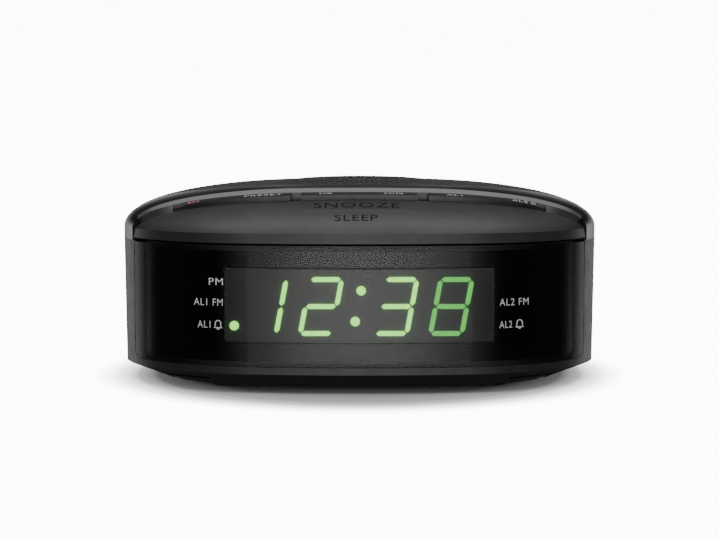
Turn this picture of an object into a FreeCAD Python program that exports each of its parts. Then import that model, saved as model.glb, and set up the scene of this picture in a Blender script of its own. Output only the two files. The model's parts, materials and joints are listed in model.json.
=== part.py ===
import FreeCAD, Part
import math
import os
import Sketcher
from FreeCAD import Rotation, Vector

# Clock radio, in millimetres. +Z is up, the front faces -Y, the origin is under the middle of its box.
os.makedirs("parts", exist_ok=True)
doc = FreeCAD.newDocument("ClockRadio")

# ---------------------------------------------------------------------------
# Driving dimensions
# ---------------------------------------------------------------------------
SIZES = [
    ("half_width", 67.0, "widest section to the middle plane"),
    ("front_reach", 62.0, "origin to the front of the case"),
    ("back_reach", 62.0, "origin to the back of the case"),
    ("widest_back", -16.0, "y of the widest section"),
    ("corner_radius", 44.0, "plan radius of the front corners"),
    ("foot_height", 1.0, "feet below the base"),
    ("belly_height", 5.2, "top of the bevel under the case"),
    ("parting_height", 40.0, "joint between the two cabinets"),
    ("rim_height", 42.6, "top of the upper cabinet's side wall"),
    ("crown_rise", 13.2, "rise of the domed top above the rim"),
    ("crown_power", 2.4, "squareness of the dome's profile"),
    ("crown_middle", -10.0, "y of the dome's middle"),
    ("bevel_inset", 11.5, "base edge inside the widest outline"),
    ("draft_inset", 0.6, "draft of the side wall at the belly"),
    ("wall", 2.3, "cabinet wall"),
    ("grille_wall", 3.0, "cabinet wall and grille together"),
    ("grille_sheet", 1.2, "grille thickness"),
    ("grille_length", 116.0, "grille across the case"),
    ("grille_depth", 50.0, "grille front to back"),
    ("grille_middle", -4.5, "y of the grille's middle"),
    ("grille_pitch", 2.8, "spacing of the grille's holes"),
    ("grille_hole", 0.85, "radius of the grille's holes"),
    ("snooze_low", 40.7, "lower edge of the snooze bar"),
    ("snooze_crest", 43.9, "front edge of the snooze bar's top"),
    ("snooze_half", 63.3, "half length of the snooze bar"),
    ("snooze_base", 39.5, "base of the snooze bar's crown"),
    ("snooze_rise", 14.4, "rise of the snooze bar's crown"),
    ("snooze_scale", 1.01, "size of the snooze bar's crown"),
    ("snooze_wall", 1.8, "snooze bar thickness"),
    ("snooze_guide", 1.6, "radius of the snooze bar's guide pins"),
    ("snooze_post_x", 46.0, "x of the guide pins"),
    ("snooze_post_y", -45.5, "y of the guide pins"),
    ("spring_x", 28.0, "x of the snooze springs"),
    ("spring_y", -47.5, "y of the snooze springs"),
    ("spring_radius", 1.5, "snooze spring radius"),
    ("spring_wire", 0.2, "snooze spring wire radius"),
    ("spring_seat", 45.25, "z of the springs' seats"),
    ("spring_length", 2.2, "snooze spring length"),
    ("spring_pitch", 0.6, "rise of one turn of a snooze spring"),
    ("deck_base", 38.5, "base of the deck under the keys"),
    ("deck_rise", 9.5, "rise of the deck under the keys"),
    ("deck_scale", 0.94, "size of the deck under the keys"),
    ("slide_gap", 0.35, "gap beside pieces that move"),
    ("strip_width", 1.9, "light strip behind the keys"),
    ("strip_end", 61.9, "half length of that strip"),
    ("strip_depth", 6.0, "height of the strip's bar"),
    ("key_gap", 3.1, "gap between two keys"),
    ("key_middle", 16.0, "half length of the middle key"),
    ("key_end", 51.4, "outer end of the side keys"),
    ("key_front_gap", 0.6, "gap between keys and snooze bar"),
    ("key_proud", 1.3, "keys above the snooze bar's edge"),
    ("key_depth", 3.6, "height of a key's body"),
    ("key_lip", 0.62, "height of the lip along a key's front"),
    ("key_undercut", 0.9, "depth of the undercut below that lip"),
    ("key_stem", 1.2, "radius of a key's stem"),
    ("key_pin", 0.8, "radius of a key's hinge pin"),
    ("key_pin_length", 1.5, "length of a key's hinge pin"),
    ("pin_clearance", 0.05, "running clearance of the hinge pins"),
    ("stem_foot", 42.4, "lower end of the key stems"),
    ("lens_half", 62.6, "half length of the front lens"),
    ("lens_low", 7.3, "lower edge of the front lens"),
    ("lens_high", 39.7, "upper edge of the front lens"),
    ("lens_wall", 2.0, "front lens thickness"),
    ("lens_corner", 2.3, "radius of the lens's lower corners"),
    ("lens_fit", 0.15, "gap round the edge of the lens"),
    ("lens_backing", 3.9, "inside of the wall behind the lens"),
    ("window_half", 36.8, "half length of the display window"),
    ("window_low", 13.5, "lower edge of the display window"),
    ("window_high", 34.2, "upper edge of the display window"),
    ("display_front", -55.0, "y of the display's face"),
    ("display_thickness", 4.0, "display housing, front to back"),
    ("digit_height", 16.0, "height of the digits"),
    ("digit_low", 15.3, "lower edge of the digits"),
    ("board_thickness", 1.6, "circuit boards"),
    ("display_board_length", 80.0, "display board across"),
    ("display_board_low", 11.0, "display board's lower edge"),
    ("display_board_high", 34.9, "display board's upper edge"),
    ("key_board_low", 35.6, "underside of the key board"),
    ("key_board_half", 46.0, "half length of the key board"),
    ("key_board_front", -45.0, "front of the key board's wide part"),
    ("key_board_back", -33.0, "back of the key board"),
    ("key_tongue_half", 20.0, "half length of the key board's tongue"),
    ("key_tongue_front", -54.0, "front of the key board's tongue"),
    ("key_post_x", 17.6, "x of the key board's posts"),
    ("key_post_y", -38.0, "y of the key board's posts"),
    ("main_board_length", 92.0, "main board across"),
    ("main_board_depth", 36.0, "main board front to back"),
    ("main_board_middle", -20.0, "y of the main board's middle"),
    ("main_board_low", 8.0, "underside of the main board"),
    ("board_hole_x", 42.5, "x of the main board's holes"),
    ("board_hole_y", 14.5, "main board's holes from its middle"),
    ("board_hole", 1.6, "radius of the main board's holes"),
    ("speaker_middle", -2.5, "y of the speaker"),
    ("speaker_flange", 29.0, "radius of the speaker's frame"),
    ("speaker_flange_low", 48.6, "underside of the speaker's frame"),
    ("speaker_sheet", 1.0, "speaker frame metal"),
    ("speaker_neck", 15.0, "radius of the basket's neck"),
    ("speaker_neck_low", 38.5, "underside of the basket"),
    ("surround_outer", 25.0, "outer radius of the cone's surround"),
    ("surround_inner", 21.0, "inner radius of the cone's surround"),
    ("surround_margin", 0.7, "gap beside the cone's surround"),
    ("surround_room", 1.3, "room for the surround above the flange's underside"),
    ("coil_radius", 7.0, "radius of the voice coil"),
    ("magnet_radius", 16.0, "radius of the magnet"),
    ("magnet_height", 9.0, "height of the magnet"),
    ("magnet_plate", 1.5, "steel plates on the magnet"),
    ("sound_radius", 21.0, "sound opening above the speaker"),
    ("speaker_screw_circle", 27.0, "radius of the speaker's screw circle"),
    ("transformer_x", -37.0, "x of the transformer"),
    ("transformer_y", 15.0, "y of the transformer"),
    ("transformer_length", 26.0, "transformer core across"),
    ("transformer_depth", 15.0, "transformer core stack"),
    ("transformer_height", 24.0, "transformer core height"),
    ("transformer_low", 3.3, "underside of the transformer"),
    ("limb", 5.0, "width of the core's limbs"),
    ("coil_overhang", 5.0, "windings beyond the core"),
    ("bay_x", 4.0, "x of the battery bay"),
    ("bay_y", 22.0, "y of the battery bay"),
    ("bay_length", 52.0, "battery bay across"),
    ("bay_depth", 23.0, "battery bay front to back"),
    ("bay_top", 15.0, "roof of the battery bay"),
    ("bay_wall", 1.5, "walls of the battery bay"),
    ("cell_half_pitch", 5.5, "middle of the bay to the middle of a cell"),
    ("contact_sheet", 0.4, "battery contact metal"),
    ("contact_side", 8.5, "side of a battery contact's plate"),
    ("contact_low", 4.5, "lower edge of the battery contacts"),
    ("leaf_radius", 3.0, "radius of a contact's sprung leaf"),
    ("leaf_width", 4.0, "width of a contact's sprung leaf"),
    ("door_thickness", 1.6, "battery door"),
    ("door_lip", 2.0, "battery door beyond the bay"),
    ("wheel_angle", 25.0, "direction of the volume wheel from the right"),
    ("wheel_radius", 11.0, "volume wheel radius"),
    ("wheel_thickness", 4.0, "volume wheel thickness"),
    ("wheel_low", 24.0, "underside of the volume wheel"),
    ("wheel_proud", 2.0, "volume wheel beyond the wall"),
    ("wheel_shaft", 3.0, "volume wheel's shaft radius"),
    ("pot_radius", 5.6, "volume control's case radius"),
    ("pot_top", 22.8, "top of the volume control's case"),
    ("pot_low", 12.0, "underside of the volume control's case"),
    ("panel_y", 57.4, "y of the flat panel at the back"),
    ("panel_half", 23.0, "half length of that panel"),
    ("panel_low", 6.5, "lower edge of that panel"),
    ("panel_high", 21.5, "upper edge of that panel"),
    ("gland_x", -12.0, "x of the mains gland"),
    ("gland_z", 14.0, "z of the mains gland"),
    ("gland_radius", 4.2, "mains gland radius in the wall"),
    ("gland_flange", 6.0, "mains gland flange radius"),
    ("gland_bore", 2.6, "mains gland bore radius"),
    ("gland_length", 7.0, "mains gland length"),
    ("gland_lip", 1.5, "thickness of the flanges outside the panel"),
    ("aerial_x", 12.0, "x of the aerial outlet"),
    ("aerial_radius", 2.6, "aerial grommet radius in the wall"),
    ("aerial_flange", 3.8, "aerial grommet flange radius"),
    ("aerial_bore", 1.1, "aerial grommet bore radius"),
    ("aerial_length", 6.0, "aerial grommet length"),
    ("foot_radius", 5.0, "rubber foot radius"),
    ("foot_sink", 0.6, "depth of the feet's seats"),
    ("foot_front_x", 36.0, "x of the front feet"),
    ("foot_front_y", -36.0, "y of the front feet"),
    ("foot_back_x", 38.5, "x of the back feet"),
    ("foot_back_y", 26.0, "y of the back feet"),
    ("boss_radius", 3.6, "screw boss radius"),
    ("boss_x", 51.0, "x of the front bosses"),
    ("boss_front", -33.0, "y of the front bosses"),
    ("boss_back_x", 36.0, "x of the back bosses"),
    ("boss_back", 44.0, "y of the back bosses"),
    ("boss_split", 22.0, "height where the bosses meet"),
    ("screw_radius", 1.4, "case screw radius"),
    ("screw_head", 2.8, "case screw head radius"),
    ("screw_sink", 6.0, "depth of the screw wells"),
    ("knee_rise", 1.8, "inner edge of the bevel above the belly"),
    ("slot_inner", 41.0, "inner end of the slots under the front corners"),
    ("slot_outer", 60.0, "outer end of those slots"),
    ("slot_low", 2.7, "lower edge of those slots"),
    ("slot_high", 3.5, "upper edge of those slots"),
    ("slot_inset", 8.2, "bottom of those slots inside the widest outline"),
    ("standoff_radius", 2.8, "radius of the board standoffs"),
    ("pilot_radius", 1.0, "pilot holes for the board screws"),
    ("speaker_pilot", 0.9, "pilot holes for the speaker screws"),
    ("thin_boss", 2.2, "radius of the bosses for the small screws"),
    ("running_gap", 0.5, "gap round the volume wheel"),
    ("label_length", 44.0, "rating label across"),
    ("label_depth", 22.0, "rating label front to back"),
    ("label_y", -14.0, "y of the rating label"),
    ("label_sheet", 0.2, "rating label thickness"),
]
sheet = doc.addObject("Spreadsheet::Sheet", "Sizes")
for row, (alias, amount, meaning) in enumerate(SIZES, start=1):
    sheet.set(f"A{row}", meaning)
    sheet.set(f"B{row}", str(amount))
    sheet.setAlias(f"B{row}", alias)
doc.recompute()


class Sheet:
    """Reads a driving dimension by its name."""

    def __getattr__(self, alias):
        return float(getattr(sheet, alias))


dim = Sheet()
FAR = 200.0
UP = Vector(0, 0, 1)
BACK = Vector(0, 1, 0)
nodes = []


# ---------------------------------------------------------------------------
# Helpers for bound primitives, sketched bodies and plain shapes
# ---------------------------------------------------------------------------
def keep(item, label):
    """Names a finished sub-part and lists it for export."""
    item.Label = label
    nodes.append(item)
    return item


def bind(item, places, **formulas):
    """Binds an object's sizes and its place to cells of the sheet."""
    for name, formula in formulas.items():
        item.setExpression(name, formula)
    for axis, formula in zip("xyz", places):
        item.setExpression(f"Placement.Base.{axis}", formula)
    return item


def box(name, middle_x, middle_y, low, length, width, height):
    """A block centred in x and y that stands on a level."""
    item = doc.addObject("Part::Box", name)
    places = (f"{middle_x} - ({length}) / 2", f"{middle_y} - ({width}) / 2", low)
    return bind(item, places, Length=length, Width=width, Height=height)


def rod(name, x, y, z, radius, height, turn=None):
    """A cylinder that starts at a point and runs along +Z, or along +Y or +X when turned."""
    item = doc.addObject("Part::Cylinder", name)
    if turn == "back":
        item.Placement = FreeCAD.Placement(Vector(), Rotation(Vector(1, 0, 0), -90))
    if turn == "right":
        item.Placement = FreeCAD.Placement(Vector(), Rotation(Vector(0, 1, 0), 90))
    return bind(item, (x, y, z), Radius=radius, Height=height)


def cut(name, base, tool):
    item = doc.addObject("Part::Cut", name)
    item.Base = base
    item.Tool = tool
    return item


def join(name, members):
    item = doc.addObject("Part::MultiFuse", name)
    item.Shapes = members
    return item


def group(name, members):
    item = doc.addObject("Part::Compound", name)
    item.Links = members
    return item


def carve(name, make):
    """A sub-part whose outline no primitive fits: its shape is worked out here from the sheet."""
    item = doc.addObject("Part::Feature", name)
    item.Shape = make()
    return item


def sketch_on(body, role, level="0"):
    """A sketch on one of a body's own origin planes, moved off it by a level."""
    sketch = body.newObject("Sketcher::SketchObject", body.Name + "Sketch")
    plane = next(item for item in body.Origin.OriginFeatures if item.Role == role)
    sketch.AttachmentSupport = [(plane, "")]
    sketch.MapMode = "FlatFace"
    sketch.setExpression("AttachmentOffset.Base.z", level)
    return sketch


def fix(sketch, kind, geometry, point, formula):
    """Holds a point's coordinate to a formula; zero puts the point on the axis itself."""
    if formula == "0":
        axis = -2 if kind == "DistanceX" else -1
        sketch.addConstraint(Sketcher.Constraint("PointOnObject", geometry, point, axis))
        return
    index = sketch.addConstraint(Sketcher.Constraint(kind, -1, 1, geometry, point, 1.0))
    sketch.setExpression(f"Constraints[{index}]", formula)


def draw_outline(sketch, corners):
    """A closed outline of straight lines through corners given as formulas."""
    first = sketch.GeometryCount
    count = len(corners)
    start = [Vector(10 * math.cos(turn), 10 * math.sin(turn), 0)
             for turn in (2 * math.pi * step / count for step in range(count))]
    for step in range(count):
        sketch.addGeometry(Part.LineSegment(start[step], start[(step + 1) % count]), False)
    for step in range(count):
        after = (step + 1) % count
        sketch.addConstraint(Sketcher.Constraint("Coincident", first + step, 2, first + after, 1))
    for step, (across, along) in enumerate(corners):
        fix(sketch, "DistanceX", first + step, 1, across)
        fix(sketch, "DistanceY", first + step, 1, along)


def draw_circle(sketch, across, along, radius):
    index = sketch.addGeometry(Part.Circle(Vector(5, 5, 0), UP, 2.0), False)
    fix(sketch, "DistanceX", index, 3, across)
    fix(sketch, "DistanceY", index, 3, along)
    constraint = sketch.addConstraint(Sketcher.Constraint("Radius", index, 2.0))
    sketch.setExpression(f"Constraints[{constraint}]", radius)


def new_body(name, places=("0", "0", "0")):
    return bind(doc.addObject("PartDesign::Body", name), places)


def pad(body, sketch, length, downward=False):
    item = body.newObject("PartDesign::Pad", body.Name + "Pad")
    item.Profile = sketch
    item.Reversed = downward
    item.setExpression("Length", length)
    sketch.Visibility = False
    return item


def turned_body(name, corners, places=("0", "0", "0")):
    """A body of revolution about its own Z from a profile of radii and heights."""
    body = new_body(name, places)
    sketch = sketch_on(body, "XZ_Plane")
    draw_outline(sketch, corners)
    item = body.newObject("PartDesign::Revolution", name + "Revolution")
    item.Profile = sketch
    item.ReferenceAxis = (sketch, ["V_Axis"])
    item.Angle = 360.0
    sketch.Visibility = False
    return body


# ---------------------------------------------------------------------------
# The case's outline and crowned surfaces
# ---------------------------------------------------------------------------
def outline(inset, level):
    """Plan outline of the case, a distance inside its widest section: a shallow front, round
    corners and a round back, all tangent."""
    half, corner = dim.half_width, dim.corner_radius
    corner_middle = Vector(half - corner, dim.widest_back, level)
    across, reach = half - corner, dim.front_reach + dim.widest_back
    front_radius = (across ** 2 + reach ** 2 - corner ** 2) / (2 * (reach - corner))
    front_middle = Vector(0, front_radius - dim.front_reach, level)
    toward = (corner_middle - front_middle).normalize()
    meet = corner_middle + toward * (corner - inset)
    halfway = (toward + Vector(1, 0, 0)).normalize()
    bulge = corner_middle + halfway * (corner - inset)
    side = Vector(half - inset, dim.widest_back, level)
    back_middle = Vector(0, dim.back_reach - half, level)
    turn_in = Vector(half - inset, back_middle.y, level)
    back_tip = back_middle + BACK * (half - inset)
    back_bulge = back_middle + (BACK + Vector(1, 0, 0)).normalize() * (half - inset)
    front_tip = Vector(0, inset - dim.front_reach, level)

    def mirrored(point):
        return Vector(-point.x, point.y, point.z)

    edges = [
        Part.Arc(mirrored(meet), front_tip, meet).toShape(),
        Part.Arc(meet, bulge, side).toShape(),
        Part.LineSegment(side, turn_in).toShape(),
        Part.Arc(turn_in, back_bulge, back_tip).toShape(),
        Part.Arc(back_tip, mirrored(back_bulge), mirrored(turn_in)).toShape(),
        Part.LineSegment(mirrored(turn_in), mirrored(side)).toShape(),
        Part.Arc(mirrored(side), mirrored(bulge), mirrored(meet)).toShape(),
    ]
    return Part.Wire(edges)


def column(inset, low, high):
    """A straight solid with the case's outline between two levels."""
    return Part.Face(outline(inset, low)).extrude(UP * (high - low))


def taper(low_inset, low, high_inset, high):
    """A solid that runs from one inset of the outline to another."""
    return Part.makeLoft([outline(low_inset, low), outline(high_inset, high)], True, True)


def crown(scale, base, rise):
    """A dome over the case's outline whose profile is a superellipse."""
    middle = dim.crown_middle
    sections = []
    for degrees in (0, 7, 15, 25, 37, 50, 63, 75, 84, 88.5):
        turn = math.radians(degrees)
        spread = scale * math.cos(turn) ** (2 / dim.crown_power)
        level = base + rise * math.sin(turn) ** (2 / dim.crown_power)
        sections.append(outline(0, level).scaled(spread, Vector(0, middle, level)))
    return Part.makeLoft(sections, True, False)


def block(x_low, x_high, y_low, y_high, z_low, z_high):
    corner = Vector(x_low, y_low, z_low)
    return Part.makeBox(x_high - x_low, y_high - y_low, z_high - z_low, corner)


def post(x, y, low, high, radius):
    return Part.makeCylinder(radius, high - low, Vector(x, y, low))


def height_of(solid, x, y):
    """Height of a solid's upper surface over a point."""
    probe = Part.LineSegment(Vector(x, y, 0), Vector(x, y, FAR)).toShape()
    return max(vertex.Z for vertex in solid.common(probe).Vertexes)


def inner_crown(scale, base, rise, wall):
    """The same dome, a wall's thickness inside and below."""
    return crown(scale - wall / dim.half_width, base, rise - wall)


dome = crown(1.0, dim.rim_height, dim.crown_rise)
snooze_crown = crown(dim.snooze_scale, dim.snooze_base, dim.snooze_rise)
deck = crown(dim.deck_scale, dim.deck_base, dim.deck_rise)


# ---------------------------------------------------------------------------
# Plan curves across the top: the snooze bar's back edge and the dome's front edge
# ---------------------------------------------------------------------------
SNOOZE_EDGE = [(0, -43.6), (30, -42.9), (46, -39.6), (56, -36.3), (66, -33.2)]
DOME_EDGE = [(0, -36.2), (33, -35.1), (66, -31.7)]


def curve_through(points):
    """A smooth curve through points and their mirror images, from left to right."""
    left = [Vector(-x, y, 0) for x, y in reversed(points) if x]
    right = [Vector(x, y, 0) for x, y in points]
    curve = Part.BSplineCurve()
    curve.interpolate(left + right)
    return curve


snooze_edge = curve_through(SNOOZE_EDGE)
dome_edge = curve_through(DOME_EDGE)


def y_on(curve, x):
    """The y of a plan curve at an x."""
    cross = Part.LineSegment(Vector(x, -FAR, 0), Vector(x, FAR, 0))
    return curve.intersect(cross)[0].Y


def ahead_of(curve, shift, half, low, high):
    """Everything in front of a plan curve moved in y, between two planes across the case."""
    left, right = -half, half
    trimmed = curve.toShape()
    trimmed.translate(Vector(0, shift, 0))
    ends = [trimmed.Vertexes[0].Point, trimmed.Vertexes[-1].Point]
    front = [Vector(ends[1].x, -FAR, 0), Vector(ends[0].x, -FAR, 0)]
    loop = Part.Wire([
        trimmed,
        Part.LineSegment(ends[1], front[0]).toShape(),
        Part.LineSegment(front[0], front[1]).toShape(),
        Part.LineSegment(front[1], ends[0]).toShape(),
    ])
    solid = Part.Face(loop).extrude(UP * (high - low))
    solid.translate(Vector(0, 0, low))
    return solid.common(block(left, right, -FAR, FAR, low, high))


def stations(first, last, count):
    return [first + (last - first) * step / (count - 1) for step in range(count)]


def bar(section, first, last, count=13):
    """A bar that runs across the case through four-cornered sections worked out at each x."""
    rings = [Part.makePolygon(corners + corners[:1])
             for corners in (section(x) for x in stations(first, last, count))]
    return Part.makeLoft(rings, True, False)


# ---------------------------------------------------------------------------
# Cabinets
# ---------------------------------------------------------------------------
boss_places = [(side * dim.boss_x, dim.boss_front) for side in (-1, 1)]
boss_places += [(side * dim.boss_back_x, dim.boss_back) for side in (-1, 1)]
wheel_turn = math.radians(dim.wheel_angle)
wheel_reach = dim.half_width + dim.wheel_proud - dim.wheel_radius
wheel_x = wheel_reach * math.cos(wheel_turn)
wheel_y = dim.back_reach - dim.half_width + wheel_reach * math.sin(wheel_turn)


def foot_places():
    return [(side * dim.foot_front_x, dim.foot_front_y) for side in (-1, 1)] + [
        (side * dim.foot_back_x, dim.foot_back_y) for side in (-1, 1)]


def lens_block(grow, low, high):
    """A block with the front lens's face outline, rounded at its lower corners."""
    half, radius = dim.lens_half + grow, dim.lens_corner + grow
    shape = block(-half, half, -FAR, dim.widest_back, low, high)
    corners = [edge for edge in shape.Edges
               if abs(edge.Vertexes[0].Z - low) < 0.01 and abs(edge.Vertexes[-1].Z - low) < 0.01
               and abs(edge.Vertexes[0].Y - edge.Vertexes[-1].Y) > 1]
    return shape.makeFillet(radius, corners)


def lower_cabinet():
    base, belly, top = dim.foot_height, dim.belly_height, dim.parting_height
    wall, backing = dim.wall, dim.lens_backing
    floor = base + wall
    knee = belly + dim.knee_rise
    shell = taper(dim.bevel_inset, base, dim.draft_inset, belly).fuse(
        taper(dim.draft_inset, belly, 0, top))
    hollow = taper(dim.bevel_inset + 1.0, floor, wall + dim.draft_inset, knee).fuse(
        taper(wall + dim.draft_inset, knee, wall, top + 1))
    front = column(wall - 0.1, knee, top).cut(column(backing, 0, top + 1)).common(
        block(-dim.lens_half - 1.5, dim.lens_half + 1.5, -FAR, -31, 0, FAR))
    shape = shell.cut(hollow).fuse(front)

    # the lens's seat and the display window through the wall behind it
    seat = lens_block(dim.lens_fit, dim.lens_low - dim.lens_fit, top + 1)
    shape = shape.cut(seat.cut(column(dim.lens_wall + 0.1 + dim.draft_inset, 0, FAR)))
    shape = shape.cut(block(-dim.window_half - 0.8, dim.window_half + 0.8, -FAR, -50,
                            dim.window_low - 1, dim.window_high + 1))

    # long slots under both front corners
    for side in (-1, 1):
        ends = sorted((side * dim.slot_inner, side * dim.slot_outer))
        slot = block(ends[0], ends[1], -FAR, dim.widest_back, dim.slot_low, dim.slot_high)
        slot = slot.cut(column(dim.slot_inset, 0, FAR))
        shape = shape.cut(slot)

    # bosses for the case screws, with their wells from below
    for x, y in boss_places:
        boss = post(x, y, floor - 0.5, dim.boss_split, dim.boss_radius).common(shell)
        shape = shape.fuse(boss).cut(
            post(x, y, 0, dim.boss_split + 1, dim.screw_radius + 0.2)).cut(
            post(x, y, 0, dim.screw_sink, dim.screw_head + 0.3))

    # standoffs under the main board
    for x in (-dim.board_hole_x, dim.board_hole_x):
        for y in (-dim.board_hole_y, dim.board_hole_y):
            place = (x, y + dim.main_board_middle)
            shape = shape.fuse(post(*place, floor - 0.5, dim.main_board_low, dim.standoff_radius)).cut(
                post(*place, floor + 0.5, dim.main_board_low + 1, dim.pilot_radius))

    # battery bay, open below
    half_length, half_depth = dim.bay_length / 2, dim.bay_depth / 2
    outer = block(dim.bay_x - half_length - dim.bay_wall, dim.bay_x + half_length + dim.bay_wall,
                  dim.bay_y - half_depth - dim.bay_wall, dim.bay_y + half_depth + dim.bay_wall,
                  floor - 0.5, dim.bay_top)
    inner = block(dim.bay_x - half_length, dim.bay_x + half_length,
                  dim.bay_y - half_depth, dim.bay_y + half_depth, 0, dim.bay_top - dim.bay_wall)
    lip = dim.door_lip + 0.2
    rebate = block(dim.bay_x - half_length - lip, dim.bay_x + half_length + lip,
                   dim.bay_y - half_depth - lip, dim.bay_y + half_depth + lip,
                   0, base + dim.door_thickness - 0.25)
    shape = shape.fuse(outer).cut(inner).cut(rebate)

    # slot for the volume wheel, holes for the mains gland and the aerial
    clear = dim.running_gap
    shape = shape.cut(post(wheel_x, wheel_y, dim.wheel_low - clear,
                           dim.wheel_low + dim.wheel_thickness + clear, dim.wheel_radius + clear))
    panel = (-dim.panel_half, dim.panel_half, dim.panel_y - wall, FAR, dim.panel_low, dim.panel_high)
    shape = shape.fuse(block(*panel).common(shell))
    shape = shape.cut(block(1 - dim.panel_half, dim.panel_half - 1, dim.panel_y, FAR,
                            dim.panel_low + 1, dim.panel_high - 1))
    for x, radius in ((dim.gland_x, dim.gland_radius), (dim.aerial_x, dim.aerial_radius)):
        shape = shape.cut(Part.makeCylinder(radius + 0.05, 20, Vector(x, 45, dim.gland_z), BACK))

    # post under the volume control, and the feet's seats
    shape = shape.fuse(post(wheel_x, wheel_y, floor - 0.5, dim.pot_low, 4.5).common(shell))
    for x, y in foot_places():
        shape = shape.cut(post(x, y, 0, base + dim.foot_sink, dim.foot_radius + 0.1))

    # shallow seat for the rating label under the base
    shape = shape.cut(block(-dim.label_length / 2 - 0.3, dim.label_length / 2 + 0.3,
                            dim.label_y - dim.label_depth / 2 - 0.3, dim.label_y + dim.label_depth / 2 + 0.3,
                            0, base + 2 * dim.label_sheet))
    return shape.removeSplitter()


def recess(shift, half, strip):
    """The part of the top in front of the dome: under the snooze bar, and under the key strip."""
    low, high = dim.parting_height - 1, FAR
    return ahead_of(snooze_edge, shift, half, low, high).fuse(
        ahead_of(dome_edge, shift - dim.slide_gap, strip, low, high))


def grille_block(shrink, low, high):
    """A column with the grille's oval outline."""
    oval = Part.Ellipse(Vector(0, dim.grille_middle, low), dim.grille_length / 2 - shrink,
                        dim.grille_depth / 2 - shrink)
    return Part.Face(Part.Wire(oval.toShape())).extrude(UP * (high - low))


def deck_hole(x, y, radius):
    """A round way through the deck for a pin or a stem."""
    return post(x, y, dim.parting_height - 1, FAR, radius)


def key_middles():
    """x of the middle of the left, middle and right keys, and their half lengths."""
    side_start = dim.key_middle + dim.key_gap
    side_half = (dim.key_end - side_start) / 2
    return [(-side_start - side_half, side_half), (0.0, dim.key_middle), (side_start + side_half, side_half)]


def stem_places():
    """Both stems of each key: near its two ends, in the middle of the key's width."""
    places = []
    for middle, half in key_middles():
        for side in (-1, 1):
            x = middle + side * half * 0.5
            places.append((x, (y_on(snooze_edge, x) + y_on(dome_edge, x) - dim.strip_width) / 2 + 0.1))
    return places


def upper_cabinet():
    parting, rim = dim.parting_height, dim.rim_height
    open_half = dim.snooze_half + 0.4
    shell = column(0, parting, rim).fuse(dome)
    under_deck = inner_crown(dim.deck_scale, dim.deck_base, dim.deck_rise, dim.wall - 0.3)
    hollow = column(dim.wall, parting - 1, rim).fuse(
        inner_crown(1.0, rim - 0.5, dim.crown_rise + 0.5, dim.grille_wall))
    keep_clear = recess(dim.wall + dim.slide_gap, open_half + dim.wall, dim.strip_end + dim.wall)
    hollow = hollow.cut(keep_clear).fuse(under_deck)
    cleared = recess(dim.slide_gap, open_half, dim.strip_end + 0.1).cut(deck)
    shape = shell.cut(cleared).cut(hollow)
    below = block(-FAR, FAR, -FAR, FAR, 0, parting)
    shape = shape.cut(below)

    # the grille's shallow seat and the sound opening below it
    seat_floor = crown(1.0, rim - dim.grille_sheet - 0.05, dim.crown_rise)
    shape = shape.cut(grille_block(-0.15, rim, FAR).cut(seat_floor))
    shape = shape.cut(post(0, dim.speaker_middle, parting, FAR, dim.sound_radius))

    # bosses for the case screws and the speaker
    ceiling = inner_crown(1.0, rim, dim.crown_rise + 0.4, dim.grille_wall)
    for x, y in boss_places:
        boss = post(x, y, dim.boss_split + 0.1, FAR, dim.boss_radius)
        room = ceiling if y > 0 else under_deck
        boss = boss.common(room.fuse(column(dim.wall, 0, room.BoundBox.ZMin + 0.5)))
        shape = shape.fuse(boss).cut(post(x, y, 0, dim.boss_split + 9, dim.screw_radius + 0.05))
    for x, y in speaker_screw_places():
        top = dim.speaker_flange_low + dim.speaker_sheet + 0.05
        shape = shape.fuse(post(x, y, top, FAR, dim.thin_boss).common(ceiling)).cut(
            post(x, y, top - 1, top + 2, dim.speaker_pilot))
    shape = shape.cut(post(0, dim.speaker_middle, parting, dim.speaker_flange_low + dim.surround_room,
                           dim.surround_outer + dim.surround_margin))

    # posts that hold the key board below the deck
    for side in (-1, 1):
        top = dim.key_board_low + dim.board_thickness
        shape = shape.fuse(post(side * dim.key_post_x, dim.key_post_y, top, FAR, dim.thin_boss).common(
            under_deck.fuse(column(5, top, dim.deck_base + 0.5)))).cut(
            post(side * dim.key_post_x, dim.key_post_y, top - 1, top + 3.5, dim.pilot_radius))

    # ways through the deck for the snooze bar's pins and for the key stems
    for side in (-1, 1):
        shape = shape.cut(deck_hole(side * dim.snooze_post_x, dim.snooze_post_y,
                                             dim.snooze_guide + dim.slide_gap))
    shape = shape.cut(deck_hole(0, dim.snooze_post_y - 5, dim.key_stem + dim.slide_gap + 0.1))
    for x, y in stem_places():
        shape = shape.cut(deck_hole(x, y, dim.key_stem + dim.slide_gap + 0.1))
    return shape


def speaker_screw_places():
    places = []
    for quarter in range(4):
        turn = math.radians(45 + 90 * quarter)
        places.append((dim.speaker_screw_circle * math.cos(turn),
                       dim.speaker_middle + dim.speaker_screw_circle * math.sin(turn)))
    return places


keep(carve("LowerCabinet", lower_cabinet), "lower_cabinet")
keep(carve("UpperCabinet", upper_cabinet), "upper_cabinet")


# ---------------------------------------------------------------------------
# Front lens and the printed mask behind it
# ---------------------------------------------------------------------------
def front_lens():
    outer = taper(dim.draft_inset, dim.belly_height, 0, dim.parting_height)
    inner = taper(dim.draft_inset + dim.lens_wall, 0, dim.lens_wall, dim.parting_height + 1)
    return outer.cut(inner).common(lens_block(0, dim.lens_low, dim.lens_high))


def display_mask():
    near = dim.lens_wall + dim.draft_inset
    film = column(near, 0, FAR).cut(column(near + 0.1, 0, FAR))
    frame = lens_block(-1.2, dim.lens_low + 1.2, dim.lens_high - 1.2)
    window = block(-dim.window_half, dim.window_half, -FAR, 0, dim.window_low, dim.window_high)
    return film.common(frame).cut(window)


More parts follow.
